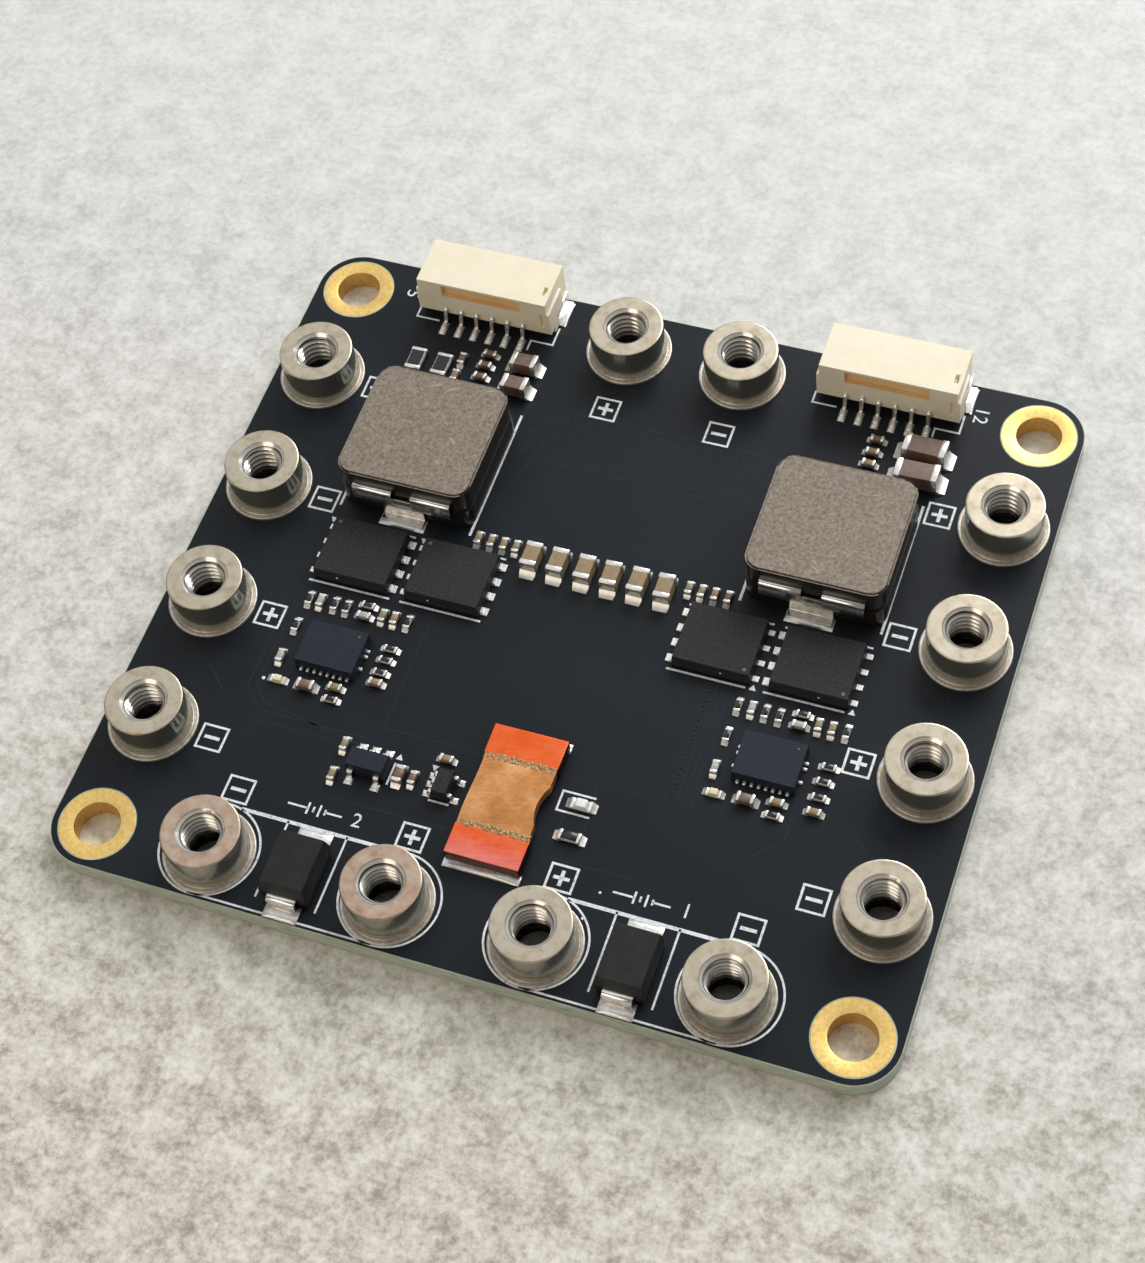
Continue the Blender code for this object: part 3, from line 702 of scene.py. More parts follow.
# printed legend and the faint copper relief under the mask, all drawn flat and then raised once
def startSheet(name):
    # a flat sheet to draw on; its seed square is the first of the tiny register dots on the board
    bpy.ops.object.select_all(action="DESELECT")
    bpy.ops.mesh.primitive_circle_add(vertices=10, radius=0.1 * mm, fill_type="NGON",
                                      location=(7.6 * mm, -21.4 * mm, 0))
    sheet = placeInMesh(bpy.context.active_object)
    sheet.name = name
    editMesh(sheet)
    return sheet


def drawLine(start, end, width):
    # a straight stroke between two places: a small square stretched, then turned to its slope
    length = math.hypot(end[0] - start[0], end[1] - start[1])
    turn = math.atan2(end[1] - start[1], end[0] - start[0])
    middle = ((start[0] + end[0]) / 2 * mm, (start[1] + end[1]) / 2 * mm, 0)
    bpy.ops.mesh.primitive_plane_add(size=width * mm, location=middle)
    bpy.ops.transform.resize(value=(length / width, 1, 1), center_override=middle)
    if abs(math.sin(turn)) > 0.001:
        bpy.ops.transform.rotate(value=-turn, orient_axis="Z", center_override=middle)


def drawPath(points, width, closed=False):
    # strokes laid end to end: each runs half a width past its corner and the next begins where it stops
    points = [Vector(p) for p in points]
    if closed:
        points = points + points[:1]
    last = len(points) - 2
    for i, (start, end) in enumerate(zip(points, points[1:])):
        along = (end - start).normalized() * width / 2
        drawLine(start + along if i or closed else start, end + along if i < last or closed else end, width)


def drawRing(x, y, radius, width, points=72):
    bpy.ops.mesh.primitive_circle_add(vertices=points, radius=(radius - width / 2) * mm,
                                      location=(x * mm, y * mm, 0))
    bpy.ops.mesh.extrude_edges_move()
    grow = (radius + width / 2) / (radius - width / 2)
    bpy.ops.transform.resize(value=(grow, grow, 1), center_override=(x * mm, y * mm, 0))


def drawDot(x, y, radius):
    bpy.ops.mesh.primitive_circle_add(vertices=12, radius=radius * mm, fill_type="NGON",
                                      location=(x * mm, y * mm, 0))


def raiseSheet(low, thickness):
    # every stroke grows upwards to the print's thickness and the sheet is laid on the board
    pickAll()
    bpy.ops.mesh.normals_make_consistent(inside=False)
    bpy.ops.mesh.extrude_region_move(TRANSFORM_OT_translate={"value": (0, 0, thickness * mm)})
    pickAll()
    bpy.ops.transform.translate(value=(0, 0, low * mm))
    bpy.ops.mesh.normals_make_consistent(inside=False)
    return leaveEdit()


def addFigure(text, x, y, size, turn=0):
    bpy.ops.object.select_all(action="DESELECT")
    bpy.ops.object.text_add(location=(x * mm, y * mm, 0), rotation=(0, 0, math.radians(turn)))
    figure = bpy.context.active_object
    figure.data.body = text
    figure.data.size = size * mm
    figure.data.align_x = "CENTER"
    figure.data.align_y = "CENTER"
    figure.data.resolution_u = 4
    bpy.ops.object.convert(target="MESH")
    return placeInMesh(bpy.context.active_object)


legend = {
    "signBox": 1.83, "signStroke": 0.17, "signArm": 1.15, "signArmWidth": 0.26,
    "inkThickness": 0.014,
    "plus": [(21.7, 15.63), (21.7, -5.25), (-21.75, 15.6), (-21.75, -5.3), (-4.4, 18.3), (-5.4, -19.05),
             (5.3, -19.05)],
    "minus": [(21.7, 5.1), (21.7, -15.8), (-21.75, 5.1), (-21.75, -15.8), (4.4, 18.3), (-18.3, -19.05),
              (18.25, -19.05)],
    "paths": [
        (0.2, [(-10.25, 4.95), (-10.25, 16.1)]), (0.2, [(-20.45, 4.95), (-20.45, 16.1)]),
        (0.2, [(10.15, 4.95), (10.15, 16.1)]), (0.2, [(20.4, 4.95), (20.4, 16.1)]),
        (0.16, [(-20.2, -1.72), (-13.95, -1.72)]), (0.16, [(-13.15, -1.72), (-6.95, -1.72)]),
        (0.16, [(6.9, -1.72), (12.65, -1.72)]), (0.16, [(13.9, -1.72), (19.7, -1.72)]),
        (0.16, [(-19.8, 3.7), (-13.98, 3.7)]), (0.16, [(-12.9, 3.7), (-6.97, 3.7)]),
        (0.16, [(6.88, 3.7), (13.1, 3.7)]), (0.16, [(13.88, 3.7), (20.2, 3.7)]),
        (0.15, [(-21.35, 24.0), (-21.35, 22.95), (-19.5, 22.95)]),
        (0.15, [(-10.25, 24.6), (-10.25, 22.95), (-12.0, 22.95), (-12.0, 22.0)]),
        (0.15, [(10.15, 24.0), (10.15, 22.95), (12.0, 22.95)]),
        (0.15, [(21.2, 24.6), (21.2, 22.95), (19.4, 22.95), (19.4, 22.1)]),
        (0.15, [(-8.58, -14.05), (-8.58, -15.8)]), (0.15, [(-5.4, -16.08), (-3.9, -16.08)]),
        (0.15, [(5.6, -12.8), (3.25, -12.8), (3.25, -14.3), (5.6, -14.3)]),
        (0.27, [(-17.5, -20.35), (-6.2, -20.35)]), (0.27, [(6.2, -20.35), (17.5, -20.35)]),
        (0.15, [(-18.6, -27.2), (-5.2, -27.2)]), (0.15, [(5.2, -27.2), (18.6, -27.2)]),
        (0.15, [(-14.0, -20.3), (-14.0, -26.2)]),
        (0.15, [(-9.65, -20.3), (-9.65, -26.2)]), (0.15, [(9.65, -20.3), (9.65, -26.2)]),
        (0.15, [(14.0, -20.3), (14.0, -26.2)]),
    ],
    "rings": [(-18.45, -23.75, 3.5), (-5.2, -23.75, 3.5), (5.2, -23.75, 3.5), (18.45, -23.75, 3.5)],
    "arrowsDown": [(-20.4, 3.65), (-13.3, 3.65), (-5.8, -13.6)],
    "arrowsUp": [(13.15, -1.65), (20.2, -1.65)],
    "arrowsBack": [(-8.45, -13.6)],
    "dots": [(-20.15, -10.3, 0.13), (8.1, -19.3, 0.1)],
}


def drawBattery(x, y):
    # the drawing sign of a battery: long and short plates with a lead on each side
    drawLine((x - 2.4, y), (x - 0.9, y), 0.15)
    for step, half in enumerate((0.52, 0.28, 0.52, 0.28)):
        place = x - 0.9 + step * 0.42
        drawLine((place, y - half + 0.07), (place, y + half - 0.07), 0.15)
    drawLine((x + 0.36, y), (x + 1.6, y), 0.15)


def makeLegend():
    k = legend
    sheet = startSheet("legendPrint")
    for x, y in k["plus"] + k["minus"]:
        half = k["signBox"] / 2
        corners = [(x - half, y - half), (x + half, y - half), (x + half, y + half), (x - half, y + half)]
        drawPath(corners, k["signStroke"], closed=True)
        arm = (k["signArm"] - k["signArmWidth"]) / 2
        reach = k["signArm"] / 2
        drawLine((x - reach, y), (x + reach, y), k["signArmWidth"])
        if (x, y) in k["plus"]:
            for side in (-1, 1):
                drawLine((x, y + side * k["signArmWidth"] / 2),
                         (x, y + side * (arm + k["signArmWidth"] / 2)), k["signArmWidth"])
    for width, points in k["paths"]:
        drawPath(points, width)
    for x, y, radius in k["rings"]:
        drawRing(x, y, radius, 0.15)
    for places, turn in ((k["arrowsDown"], 30), (k["arrowsUp"], 0), (k["arrowsBack"], 60)):
        for x, y in places:
            bpy.ops.mesh.primitive_circle_add(vertices=3, radius=0.3 * mm, fill_type="NGON",
                                              location=(x * mm, y * mm, 0),
                                              rotation=(0, 0, math.radians(turn * 2)))
    for x, y, radius in k["dots"]:
        drawDot(x, y, radius)
    drawBattery(-12.2, -19.0)
    drawBattery(11.3, -19.0)
    leaveEdit()
    figures = [addFigure("2", -9.5, -19.0, 1.5), addFigure("1", 14.0, -19.0, 1.5),
               addFigure("5", -22.45, 24.9, 1.5, -90), addFigure("12", 22.3, 24.9, 1.5, -90)]
    joinAll([sheet] + figures, "legendPrint")
    editMesh(sheet)
    raiseSheet(boardTop - 0.002, k["inkThickness"])
    finishPiece(sheet, ink, "board_mask")


relief = {
    "viaRows": [16.6, 16.1, 15.0, 13.8, 13.3], "viaPitch": 1.0, "viaReach": 9.0, "viaRadius": 0.24,
    "ringReach": 3.95, "traceWidth": 0.12,
    "traces": [
        [(-10.4, -2.0), (-10.4, -11.7), (-3.3, -11.7)], [(2.8, -11.7), (10.4, -11.7)],
        [(10.35, -2.2), (10.35, -11.7)], [(10.8, -2.2), (10.8, -11.2), (11.4, -11.9)],
        [(11.25, -2.4), (11.25, -10.6), (12.2, -11.7)], [(11.7, -2.6), (11.7, -9.9), (12.6, -10.9)],
        [(-21.0, -4.0), (-21.0, -11.2), (-19.5, -12.8), (-11.0, -12.8)],
        [(-20.4, -4.4), (-20.4, -10.9), (-19.3, -12.1), (-11.0, -13.55)],
        [(-19.5, -13.6), (-13.4, -13.6)], [(-12.0, -17.8), (-3.5, -17.8)], [(4.0, -17.8), (10.5, -17.8)],
        [(5.4, -11.7), (5.4, -12.6)], [(3.9, -14.6), (3.9, -15.8)], [(5.6, -14.6), (5.6, -15.8)],
        [(-9.2, 4.0), (-9.2, 8.6), (-8.2, 12.6), (9.0, 12.6)], [(-9.2, 17.3), (9.0, 17.3)],
        [(17.2, -2.6), (17.2, -2.1)], [(18.6, -9.9), (18.6, -12.4), (16.8, -14.0)],
        [(-22.6, -12.0), (-24.4, -10.2)], [(22.6, -10.2), (24.2, -11.8)],
    ],
}


def makeRelief(name, low, thickness):
    # traces, via rows and the via rings round each terminal, seen only as soft ridges through the mask
    k = relief
    sheet = startSheet(name)
    for points in k["traces"]:
        drawPath(points, k["traceWidth"])
    count = int(2 * k["viaReach"] / k["viaPitch"])
    for row, y in enumerate(k["viaRows"]):
        for i in range(count + 1):
            drawRing(-k["viaReach"] + i * k["viaPitch"] + (row % 2) * 0.35, y, k["viaRadius"], 0.09, 8)
    for node in terminalNodes:
        if "battery" in node:
            continue
        spot = middleOf(node)
        for i in range(16):
            angle = i * 2 * math.pi / 16
            x, y = spot.x + k["ringReach"] * math.cos(angle), spot.y + k["ringReach"] * math.sin(angle)
            if abs(x) < 29.2 and abs(y) < 26.6:
                drawRing(x, y, k["viaRadius"], 0.09, 8)
    for i in range(12):
        drawRing(10.35, -2.6 - i * 0.78, 0.16, 0.07, 8)
    raiseSheet(low, thickness)
    finishPiece(sheet, boardRelief, "board_mask")


makeLegend()
makeRelief("copperReliefTop", boardTop - 0.004, 0.012)
print("legend and relief made")


# straps: bent metal strip, an edge extruded along a path of (y, z) places and then given its thickness
def addStrap(name, path, width, thickness, rounding=0.04):
    bpy.ops.object.select_all(action="DESELECT")
    y0, z0 = path[0]
    bpy.ops.mesh.primitive_plane_add(size=width * mm, location=(0, (y0 + width / 2) * mm, z0 * mm))
    strap = placeInMesh(bpy.context.active_object)
    strap.name = name
    editMesh(strap)
    pickEdges(strap, lambda a, b: min(a.y, b.y) > y0 + width / 2)
    bpy.ops.mesh.delete(type="VERT")
    pickAll()
    for (ya, za), (yb, zb) in zip(path, path[1:]):
        step = (0, (yb - ya) * mm, (zb - za) * mm)
        bpy.ops.mesh.extrude_edges_move(TRANSFORM_OT_translate={"value": step})
    pickAll()
    bpy.ops.mesh.normals_make_consistent(inside=False)
    leaveEdit()
    wall = strap.modifiers.new("wall", "SOLIDIFY")
    wall.thickness = thickness * mm
    wall.offset = 0
    wall.use_even_offset = True
    bpy.ops.object.modifier_apply(modifier=wall.name)
    roundEdges(strap, rounding, 50)
    editMesh(strap)
    pickAll()
    bpy.ops.mesh.normals_make_consistent(inside=False)
    leaveEdit()
    return smoothBy(strap, 40)


def bendPath(points, radius, steps=4):
    # the path with each inner corner rounded off
    path = [points[0]]
    for before, corner, after in zip(points, points[1:], points[2:]):
        c = Vector(corner)
        a = (Vector(before) - c).normalized() * radius + c
        b = (Vector(after) - c).normalized() * radius + c
        for i in range(steps + 1):
            u = i / steps
            path.append(tuple(a * (1 - u) ** 2 + c * 2 * u * (1 - u) + b * u * u))
    return path + [points[-1]]


# power inductors: pressed iron-powder block, ground grey on top, with a flat lead clipped to each end
coilSizes = {
    "length": 10.2, "width": 10.0, "low": 1.7, "high": 5.6, "corner": 1.1, "chamfer": 0.2,
    "partingHeight": 3.45, "partingStep": 0.09, "clipWidth": 7.6, "clipGap": 1.45, "clipTop": 4.25,
    "tabWidth": 3.2, "tabHeight": 3.0, "footReach": 0.78, "leadThickness": 0.16,
    "solderPlace": 5.62, "groundFrom": 5.3,
}


def makeCoilPattern():
    c = coilSizes
    lowHeight = c["partingHeight"] - c["low"]
    body = addBlock("coilPattern", (0, 0, c["low"] + lowHeight / 2), (c["length"], c["width"], lowHeight))
    editMesh(body)
    pickEdges(body, lambda a, b: abs(a.z - b.z) > 0.5)
    bpy.ops.mesh.bevel(offset=c["corner"] * mm, segments=9, affect="EDGES")
    pickFaces(body, lambda middle, normal: normal.z > 0.9)
    half = c["length"] / 2
    rises = [(0.0, -c["partingStep"]), (0.1, 0.0),
             (c["high"] - c["chamfer"] - c["partingHeight"] - 0.1, -0.04),
             (0.03, -0.06), (0.03, 0.0), (0.01, 0.04), (0.09, 0.0), (0.04, -0.04)]
    for rise, out in rises:
        bpy.ops.mesh.extrude_region_move(TRANSFORM_OT_translate={"value": (0, 0, rise * mm)})
        grow = (half + out) / half
        bpy.ops.transform.resize(value=(grow, grow, 1), center_override=(0, 0, 0))
        half += out
    bpy.ops.mesh.inset(thickness=0.25 * mm)
    pickFaces(body, lambda middle, normal: normal.z < -0.9)
    bpy.ops.mesh.inset(thickness=0.2 * mm)
    leaveEdit()
    return smoothBy(rememberPlace(body), 30)


def makeLeadPattern():
    # front clip: a wide plate with a notch in its upper edge, a narrower tab below it, and a foot turned
    # outwards
    c = coilSizes
    face = -c["width"] / 2 - 0.09
    pieces = []
    wing = (c["clipWidth"] - c["clipGap"]) / 2
    for side in (-1, 1):
        path = bendPath([(face + 0.3, c["clipTop"] + 0.06), (face - 0.16, c["clipTop"]),
                         (face - 0.16, c["tabHeight"] - 0.02)],
                        0.26, 6)
        strap = addStrap("wing", path, wing, c["leadThickness"])
        pieces.append(copyTo(strap, "wing", (side * (c["clipGap"] + wing) / 2, 0, 0)))
        removePattern(strap)
    pieces.append(addBlock("web", (0, face - 0.06, (c["clipTop"] - 0.55 + c["tabHeight"]) / 2),
                           (c["clipGap"] + 0.2, c["leadThickness"], c["clipTop"] - 0.55 - c["tabHeight"]),
                           0.03))
    path = bendPath([(face - 0.08, c["tabHeight"] + 0.1), (face - 0.08, c["low"] + 0.08),
                     (face - c["footReach"], c["low"] + 0.08)], 0.12)
    pieces.append(addStrap("tab", path, c["tabWidth"], c["leadThickness"]))
    return rememberPlace(joinAll(pieces, "leadPattern"))


def makeFootSolder(width, reach, height):
    # solder wetted over the foot and its pad: a low mound with an uneven top
    mound = addBlock("mound", (0, 0, boardTop + height / 2 - 0.01), (width, reach, height))
    editMesh(mound)
    pickAll()
    bpy.ops.mesh.subdivide(number_cuts=5)
    leaveEdit()
    for point in mound.data.vertices:
        x, y, z = point.co / mm
        edge = min(1.0, (1 - abs(x) / (width / 2)) * 5) * min(1.0, (1 - abs(y) / (reach / 2)) * 3.2)
        wave = 0.75 + 0.25 * math.sin(x * 6.1 + y * 3.7) * math.cos(y * 7.3 - x * 2.1)
        if z > boardTop:
            swell = 0.25 + 0.75 * math.sqrt(max(edge, 0))
            point.co.z = (boardTop - 0.01 + (z - boardTop + 0.01) * swell * wave) * mm
    return smoothBy(mound, 60)


def makeCoils():
    c = coilSizes
    body = makeCoilPattern()
    lead = makeLeadPattern()
    mound = makeFootSolder(3.5, 1.1, 0.2)
    mounds = []
    for side in ("left", "right"):
        spot = middleOf("inductor_core_" + side)
        core = copyTo(body, "coilBlock_" + side, (spot.x, spot.y, 0))
        finishPiece(core, coilSideDarkAndShade, "inductor_core", "inductor_core_" + side)
        core.data.materials.append(coilGround)
        # upward faces at the top take the pale ground finish; the dark side finish also carries painted
        # shade
        for face in core.data.polygons:
            if face.normal.z > 0.35 and face.center.z > c["groundFrom"] * mm:
                face.material_index = 1
        for end, turn in (("front", 0), ("back", 180)):
            strap = copyTo(lead, f"coilLead_{side}_{end}", (spot.x, spot.y, 0), turn)
            finishPiece(strap, tinStrip, "tin", f"inductor_lead_{side}_{end}")
            away = -1 if end == "front" else 1
            mounds.append(copyTo(mound, "mound", (spot.x, spot.y + away * c["solderPlace"], 0), turn))
    finishPiece(joinAll(mounds, "coilSolder"), solder, "tin")
    removePattern(body, lead, mound)


makeCoils()
print("inductors made")


# moulded chips: power transistors, regulator controllers, and the two small gull-lead chips
transistorSizes = {
    "size": (5.75, 4.9), "low": 1.68, "high": 2.7, "draft": 0.1, "rows": [2.95, 1.65, 0.4, -0.9],
    "dimpleRadius": 0.17, "dimpleDepth": 0.03, "mark": (-2.35, 1.95),
    "drainPlace": 3.03, "leadPlace": 2.9, "sourcePlace": 3.1, "tieBarPlace": 2.43,
}
controllerSizes = {
    "size": (4.5, 3.5), "low": 1.66, "high": 2.6, "draft": 0.05, "pitch": 0.5, "frontPins": 8,
    "sidePins": [0.75, 0.3, -0.75], "frontPlace": 1.82, "sidePlace": 2.32,
    "mark": (1.65, 1.25), "dimpleRadius": 0.1,
}


def makeChipBody(name, size, low, high, draft, dimples, sawn=False):
    # a moulded block, drawn in towards its top, with round ejector or index marks sunk in the top face
    body = addBlock(name, (0, 0, (low + high) / 2), (size[0], size[1], high - low))
    editMesh(body)
    pickFaces(body, lambda middle, normal: normal.z > 0.9)
    bpy.ops.transform.resize(value=(1 - 2 * draft / size[0], 1 - 2 * draft / size[1], 1),
                             center_override=(0, 0, 0))
    pickAll()
    bpy.ops.mesh.bevel(offset=(0.02 if sawn else 0.05) * mm, segments=2, affect="EDGES")
    leaveEdit()
    for x, y, radius, depth in dimples:
        cutWith(body, addRod(x, y, high + 0.2 - depth, radius, 0.4, 20))
    return smoothBy(rememberPlace(body), 30)


def addMark(x, y, z, radius):
    # a laser dot: a disc only a few hundredths above the bottom of its dimple
    return addRod(x, y, z, radius, 0.012, 18)


def makeTransistors():
    t = transistorSizes
    body = makeChipBody("transistorPattern", t["size"], t["low"], t["high"], t["draft"],
                        [(*t["mark"], t["dimpleRadius"], t["dimpleDepth"])])
    pads = []
    drain = addBlock("drainPad", (0, 0, boardTop + 0.06), (0.72, 0.62, 0.14), 0.03)
    source = addBlock("sourcePad", (0, 0, boardTop + 0.05), (0.5, 0.46, 0.12), 0.04)
    lead = addBlock("drainLead", (0, 0, boardTop + 0.16), (0.34, 0.5, 0.2), 0.03)
    bar = addBlock("tieBar", (0, 0, 2.2), (0.2, 0.12, 0.16), 0.05)
    bars = []
    marks = []
    for name in ("left_1", "left_2", "right_1", "right_2"):
        spot = middleOf("power_transistor_" + name)
        flip = 1 if "left" in name else -1
        piece = copyTo(body, "transistorBody_" + name, (spot.x, spot.y, 0), 0 if flip == 1 else 180)
        finishPiece(piece, mouldedBlack, "chip_plastic", "power_transistor_" + name)
        markX, markY = t["mark"]
        marks.append(addMark(spot.x + markX * flip, spot.y + markY * flip, t["high"] - 0.028, 0.15))
        for y in t["rows"]:
            pads.append(copyTo(drain, "pad", (spot.x + flip * t["drainPlace"], y, 0)))
            pads.append(copyTo(lead, "pad", (spot.x + flip * t["leadPlace"], y, 0)))
            pads.append(copyTo(source, "pad", (spot.x - flip * t["sourcePlace"], y, 0)))
        for y in (spot.y - t["tieBarPlace"], spot.y + t["tieBarPlace"]):
            bars.append(copyTo(bar, "bar", (spot.x - 0.1 - 0.85 * flip, y, 0)))
    finishPiece(joinAll(pads, "transistorPads"), solder, "tin")
    finishPiece(joinAll(bars, "transistorTieBars"), tinPlate, "tin")
    finishPiece(joinAll(marks, "transistorMarks"), laserMark, "chip_plastic")
    removePattern(body, drain, source, lead, bar)


def makeControllers():
    c = controllerSizes
    body = makeChipBody("controllerPattern", c["size"], c["low"], c["high"], c["draft"],
                        [(*c["mark"], c["dimpleRadius"], 0.02)], sawn=True)
    toe = addBlock("toe", (0, 0, boardTop + 0.07), (0.26, 0.36, 0.22), 0.09, 3)
    toes = []
    marks = []
    for side in ("left", "right"):
        spot = middleOf("buck_controller_" + side)
        piece = copyTo(body, "controllerBody_" + side, (spot.x, spot.y, 0))
        finishPiece(piece, mouldedSlate, "controller_plastic", "buck_controller_" + side)
        markX, markY = c["mark"]
        marks.append(addMark(spot.x + markX, spot.y + markY, c["high"] - 0.018, 0.09))
        for i in range(c["frontPins"]):
            x = spot.x + (i - (c["frontPins"] - 1) / 2) * c["pitch"]
            for y in (spot.y - c["frontPlace"], spot.y + c["frontPlace"]):
                toes.append(copyTo(toe, "toe", (x, y, 0)))
        for rise in c["sidePins"]:
            for x in (spot.x - c["sidePlace"], spot.x + c["sidePlace"]):
                toes.append(copyTo(toe, "toe", (x, spot.y + rise, 0), 90))
    finishPiece(joinAll(toes, "controllerToes"), solder, "tin")
    finishPiece(joinAll(marks, "controllerMarks"), laserMark, "chip_plastic")
    removePattern(body, toe)


gullChips = {
    "power_monitor_chip": {"size": (2.9, 1.6), "high": 2.8, "leadWidth": 0.4, "reach": 0.65, "turn": 0,
                           "front": [-1.0, 0.95], "back": [-1.0, -0.05, 0.95]},
    "current_sense_chip": {"size": (2.0, 1.25), "high": 2.65, "leadWidth": 0.26, "reach": 0.5, "turn": -90,
                           "front": [-0.65, 0.0, 0.75], "back": [-0.65, 0.75]},
}


def makeGullChips():
    feet = []
    for node, g in gullChips.items():
        spot = middleOf(node)
        low, high = boardTop + 0.08, g["high"]
        body = makeChipBody("chipBody_" + node, g["size"], low, high, 0.09, [])
        half = g["size"][1] / 2
        lift = boardTop + 0.09
        shoulder = (low + high) / 2 + 0.02
        path = bendPath([(-half + 0.1, shoulder), (-half - 0.2, shoulder), (-half - 0.3, lift),
                         (-half - g["reach"], lift)], 0.07, 3)
        leg = addStrap("leg", path, g["leadWidth"], 0.12, 0.02)
        blob = makeFootSolder(g["leadWidth"] + 0.24, 0.62, 0.12)
        for x in g["front"]:
            feet.append(copyTo(leg, "leg", (x, 0, 0)))
            feet.append(copyTo(blob, "blob", (x, -half - g["reach"] + 0.12, 0)))
        for x in g["back"]:
            feet.append(copyTo(leg, "leg", (x, 0, 0), 180))
            feet.append(copyTo(blob, "blob", (x, half + g["reach"] - 0.12, 0), 180))
        removePattern(leg, blob)
        carry = Matrix.Translation((spot.x * mm, spot.y * mm,
                                    0)) @ Matrix.Rotation(math.radians(g["turn"]), 4, "Z")
        chip = joinAll([body], "chipBody_" + node)
        chip.data.transform(carry)
        for foot in feet[-2 * (len(g["front"]) + len(g["back"])):]:
            foot.data.transform(carry)
        finishPiece(chip, mouldedSlate if node == "power_monitor_chip" else mouldedBlack, "chip_plastic",
                    node)
    finishPiece(joinAll(feet, "gullLeads"), tinPlate, "tin")


makeTransistors()
makeControllers()
makeGullChips()
print("chips made")


# six-way side-entry sockets: moulded nylon housings with their pins, outer tabs and solder
socketSizes = {
    "length": 10.75, "bodyLength": 10.35, "back": 23.35, "front": 27.4, "low": 1.7, "high": 5.65,
    "rearStep": 0.8, "stepHeight": 0.62, "sideWall": 0.75, "topWall": 0.6, "floor": 0.65, "rearWall": 1.0,
    "recessLength": 6.3, "recessHeight": 1.15, "recessDepth": 0.45, "recessTop": 0.25,
    "slotPlace": 4.72, "slotWidth": 0.3, "slotLength": 0.8, "slotDepth": 0.7,
    "pinPitch": 1.25, "pinWidth": 0.3, "wingTop": 4.55, "wingFront": 2.75, "tabPlace": 26.0,
    "tabSolder": 5.6,
}


def makeSocketPattern():
    # built at the origin: x along the row of pins, y from the rear face at 0 to the mouth
    s = socketSizes
    depth = s["front"] - s["back"]
    body = addBlock("socketPattern", (0, depth / 2, (s["low"] + s["high"]) / 2),
                    (s["bodyLength"], depth, s["high"] - s["low"]))
    # end wings: pulled out of the lower part of each end face, stopping short of the top and mouth
    editMesh(body)
    pickAll()
    bpy.ops.mesh.bisect(plane_co=(0, 0, s["wingTop"] * mm), plane_no=(0, 0, 1))
    pickAll()
    bpy.ops.mesh.bisect(plane_co=(0, s["wingFront"] * mm, 0), plane_no=(0, 1, 0))
    for side in (-1, 1):
        pickFaces(body, lambda middle, normal: (normal.x * side > 0.9 and middle.y < s["wingFront"]
                                                and middle.z < s["wingTop"]))
        bpy.ops.mesh.extrude_region_move(TRANSFORM_OT_translate={"value": (side * 0.2 * mm, 0, 0)})
    # the underside steps up behind the pins
    leaveEdit()
    wide = s["length"] + 1
    cutWith(body, addBlock("step", (0, s["rearStep"] / 2 - 0.5, s["low"] + s["stepHeight"] / 2 - 0.5),
                           (wide, s["rearStep"] + 1, s["stepHeight"] + 1)))
    mouthLow, mouthHigh = s["low"] + s["floor"], s["high"] - s["topWall"]
    cutWith(body, addBlock("mouth", (0, (s["rearWall"] + depth) / 2 + 0.5, (mouthLow + mouthHigh) / 2),
                           (s["bodyLength"] - 2 * s["sideWall"] + 0.4, depth - s["rearWall"] + 1,
                            mouthHigh - mouthLow), 0.08))
    top = s["high"] - s["recessTop"]
    cutWith(body, addBlock("recess", (-0.1, s["recessDepth"] / 2 - 0.5, top - s["recessHeight"] / 2),
                           (s["recessLength"], s["recessDepth"] + 1, s["recessHeight"]), 0.05))
    x = s["slotPlace"]
    cutWith(body, addBlock("slot", (x, 1.35, s["high"]),
                           (s["slotWidth"], s["slotLength"], s["slotDepth"] * 2), 0.04))
    cutWith(body, addBlock("groove", (x, 0, 3.75), (s["slotWidth"] * 0.8, 0.5, 1.5), 0.04))
    roundEdges(body, 0.06, 40)
    return smoothBy(rememberPlace(body), 35)


def makeSocketPin():
    # one pin: a blade in the mouth, out of the rear wall, down and along the board
    lift, axis = boardTop + 0.16, boardTop + 1.35
    path = bendPath([(2.9, axis), (-0.18, axis), (-0.45, lift), (-1.3, lift)], 0.2, 4)
    return addStrap("pin", path, socketSizes["pinWidth"], 0.2, 0.05)


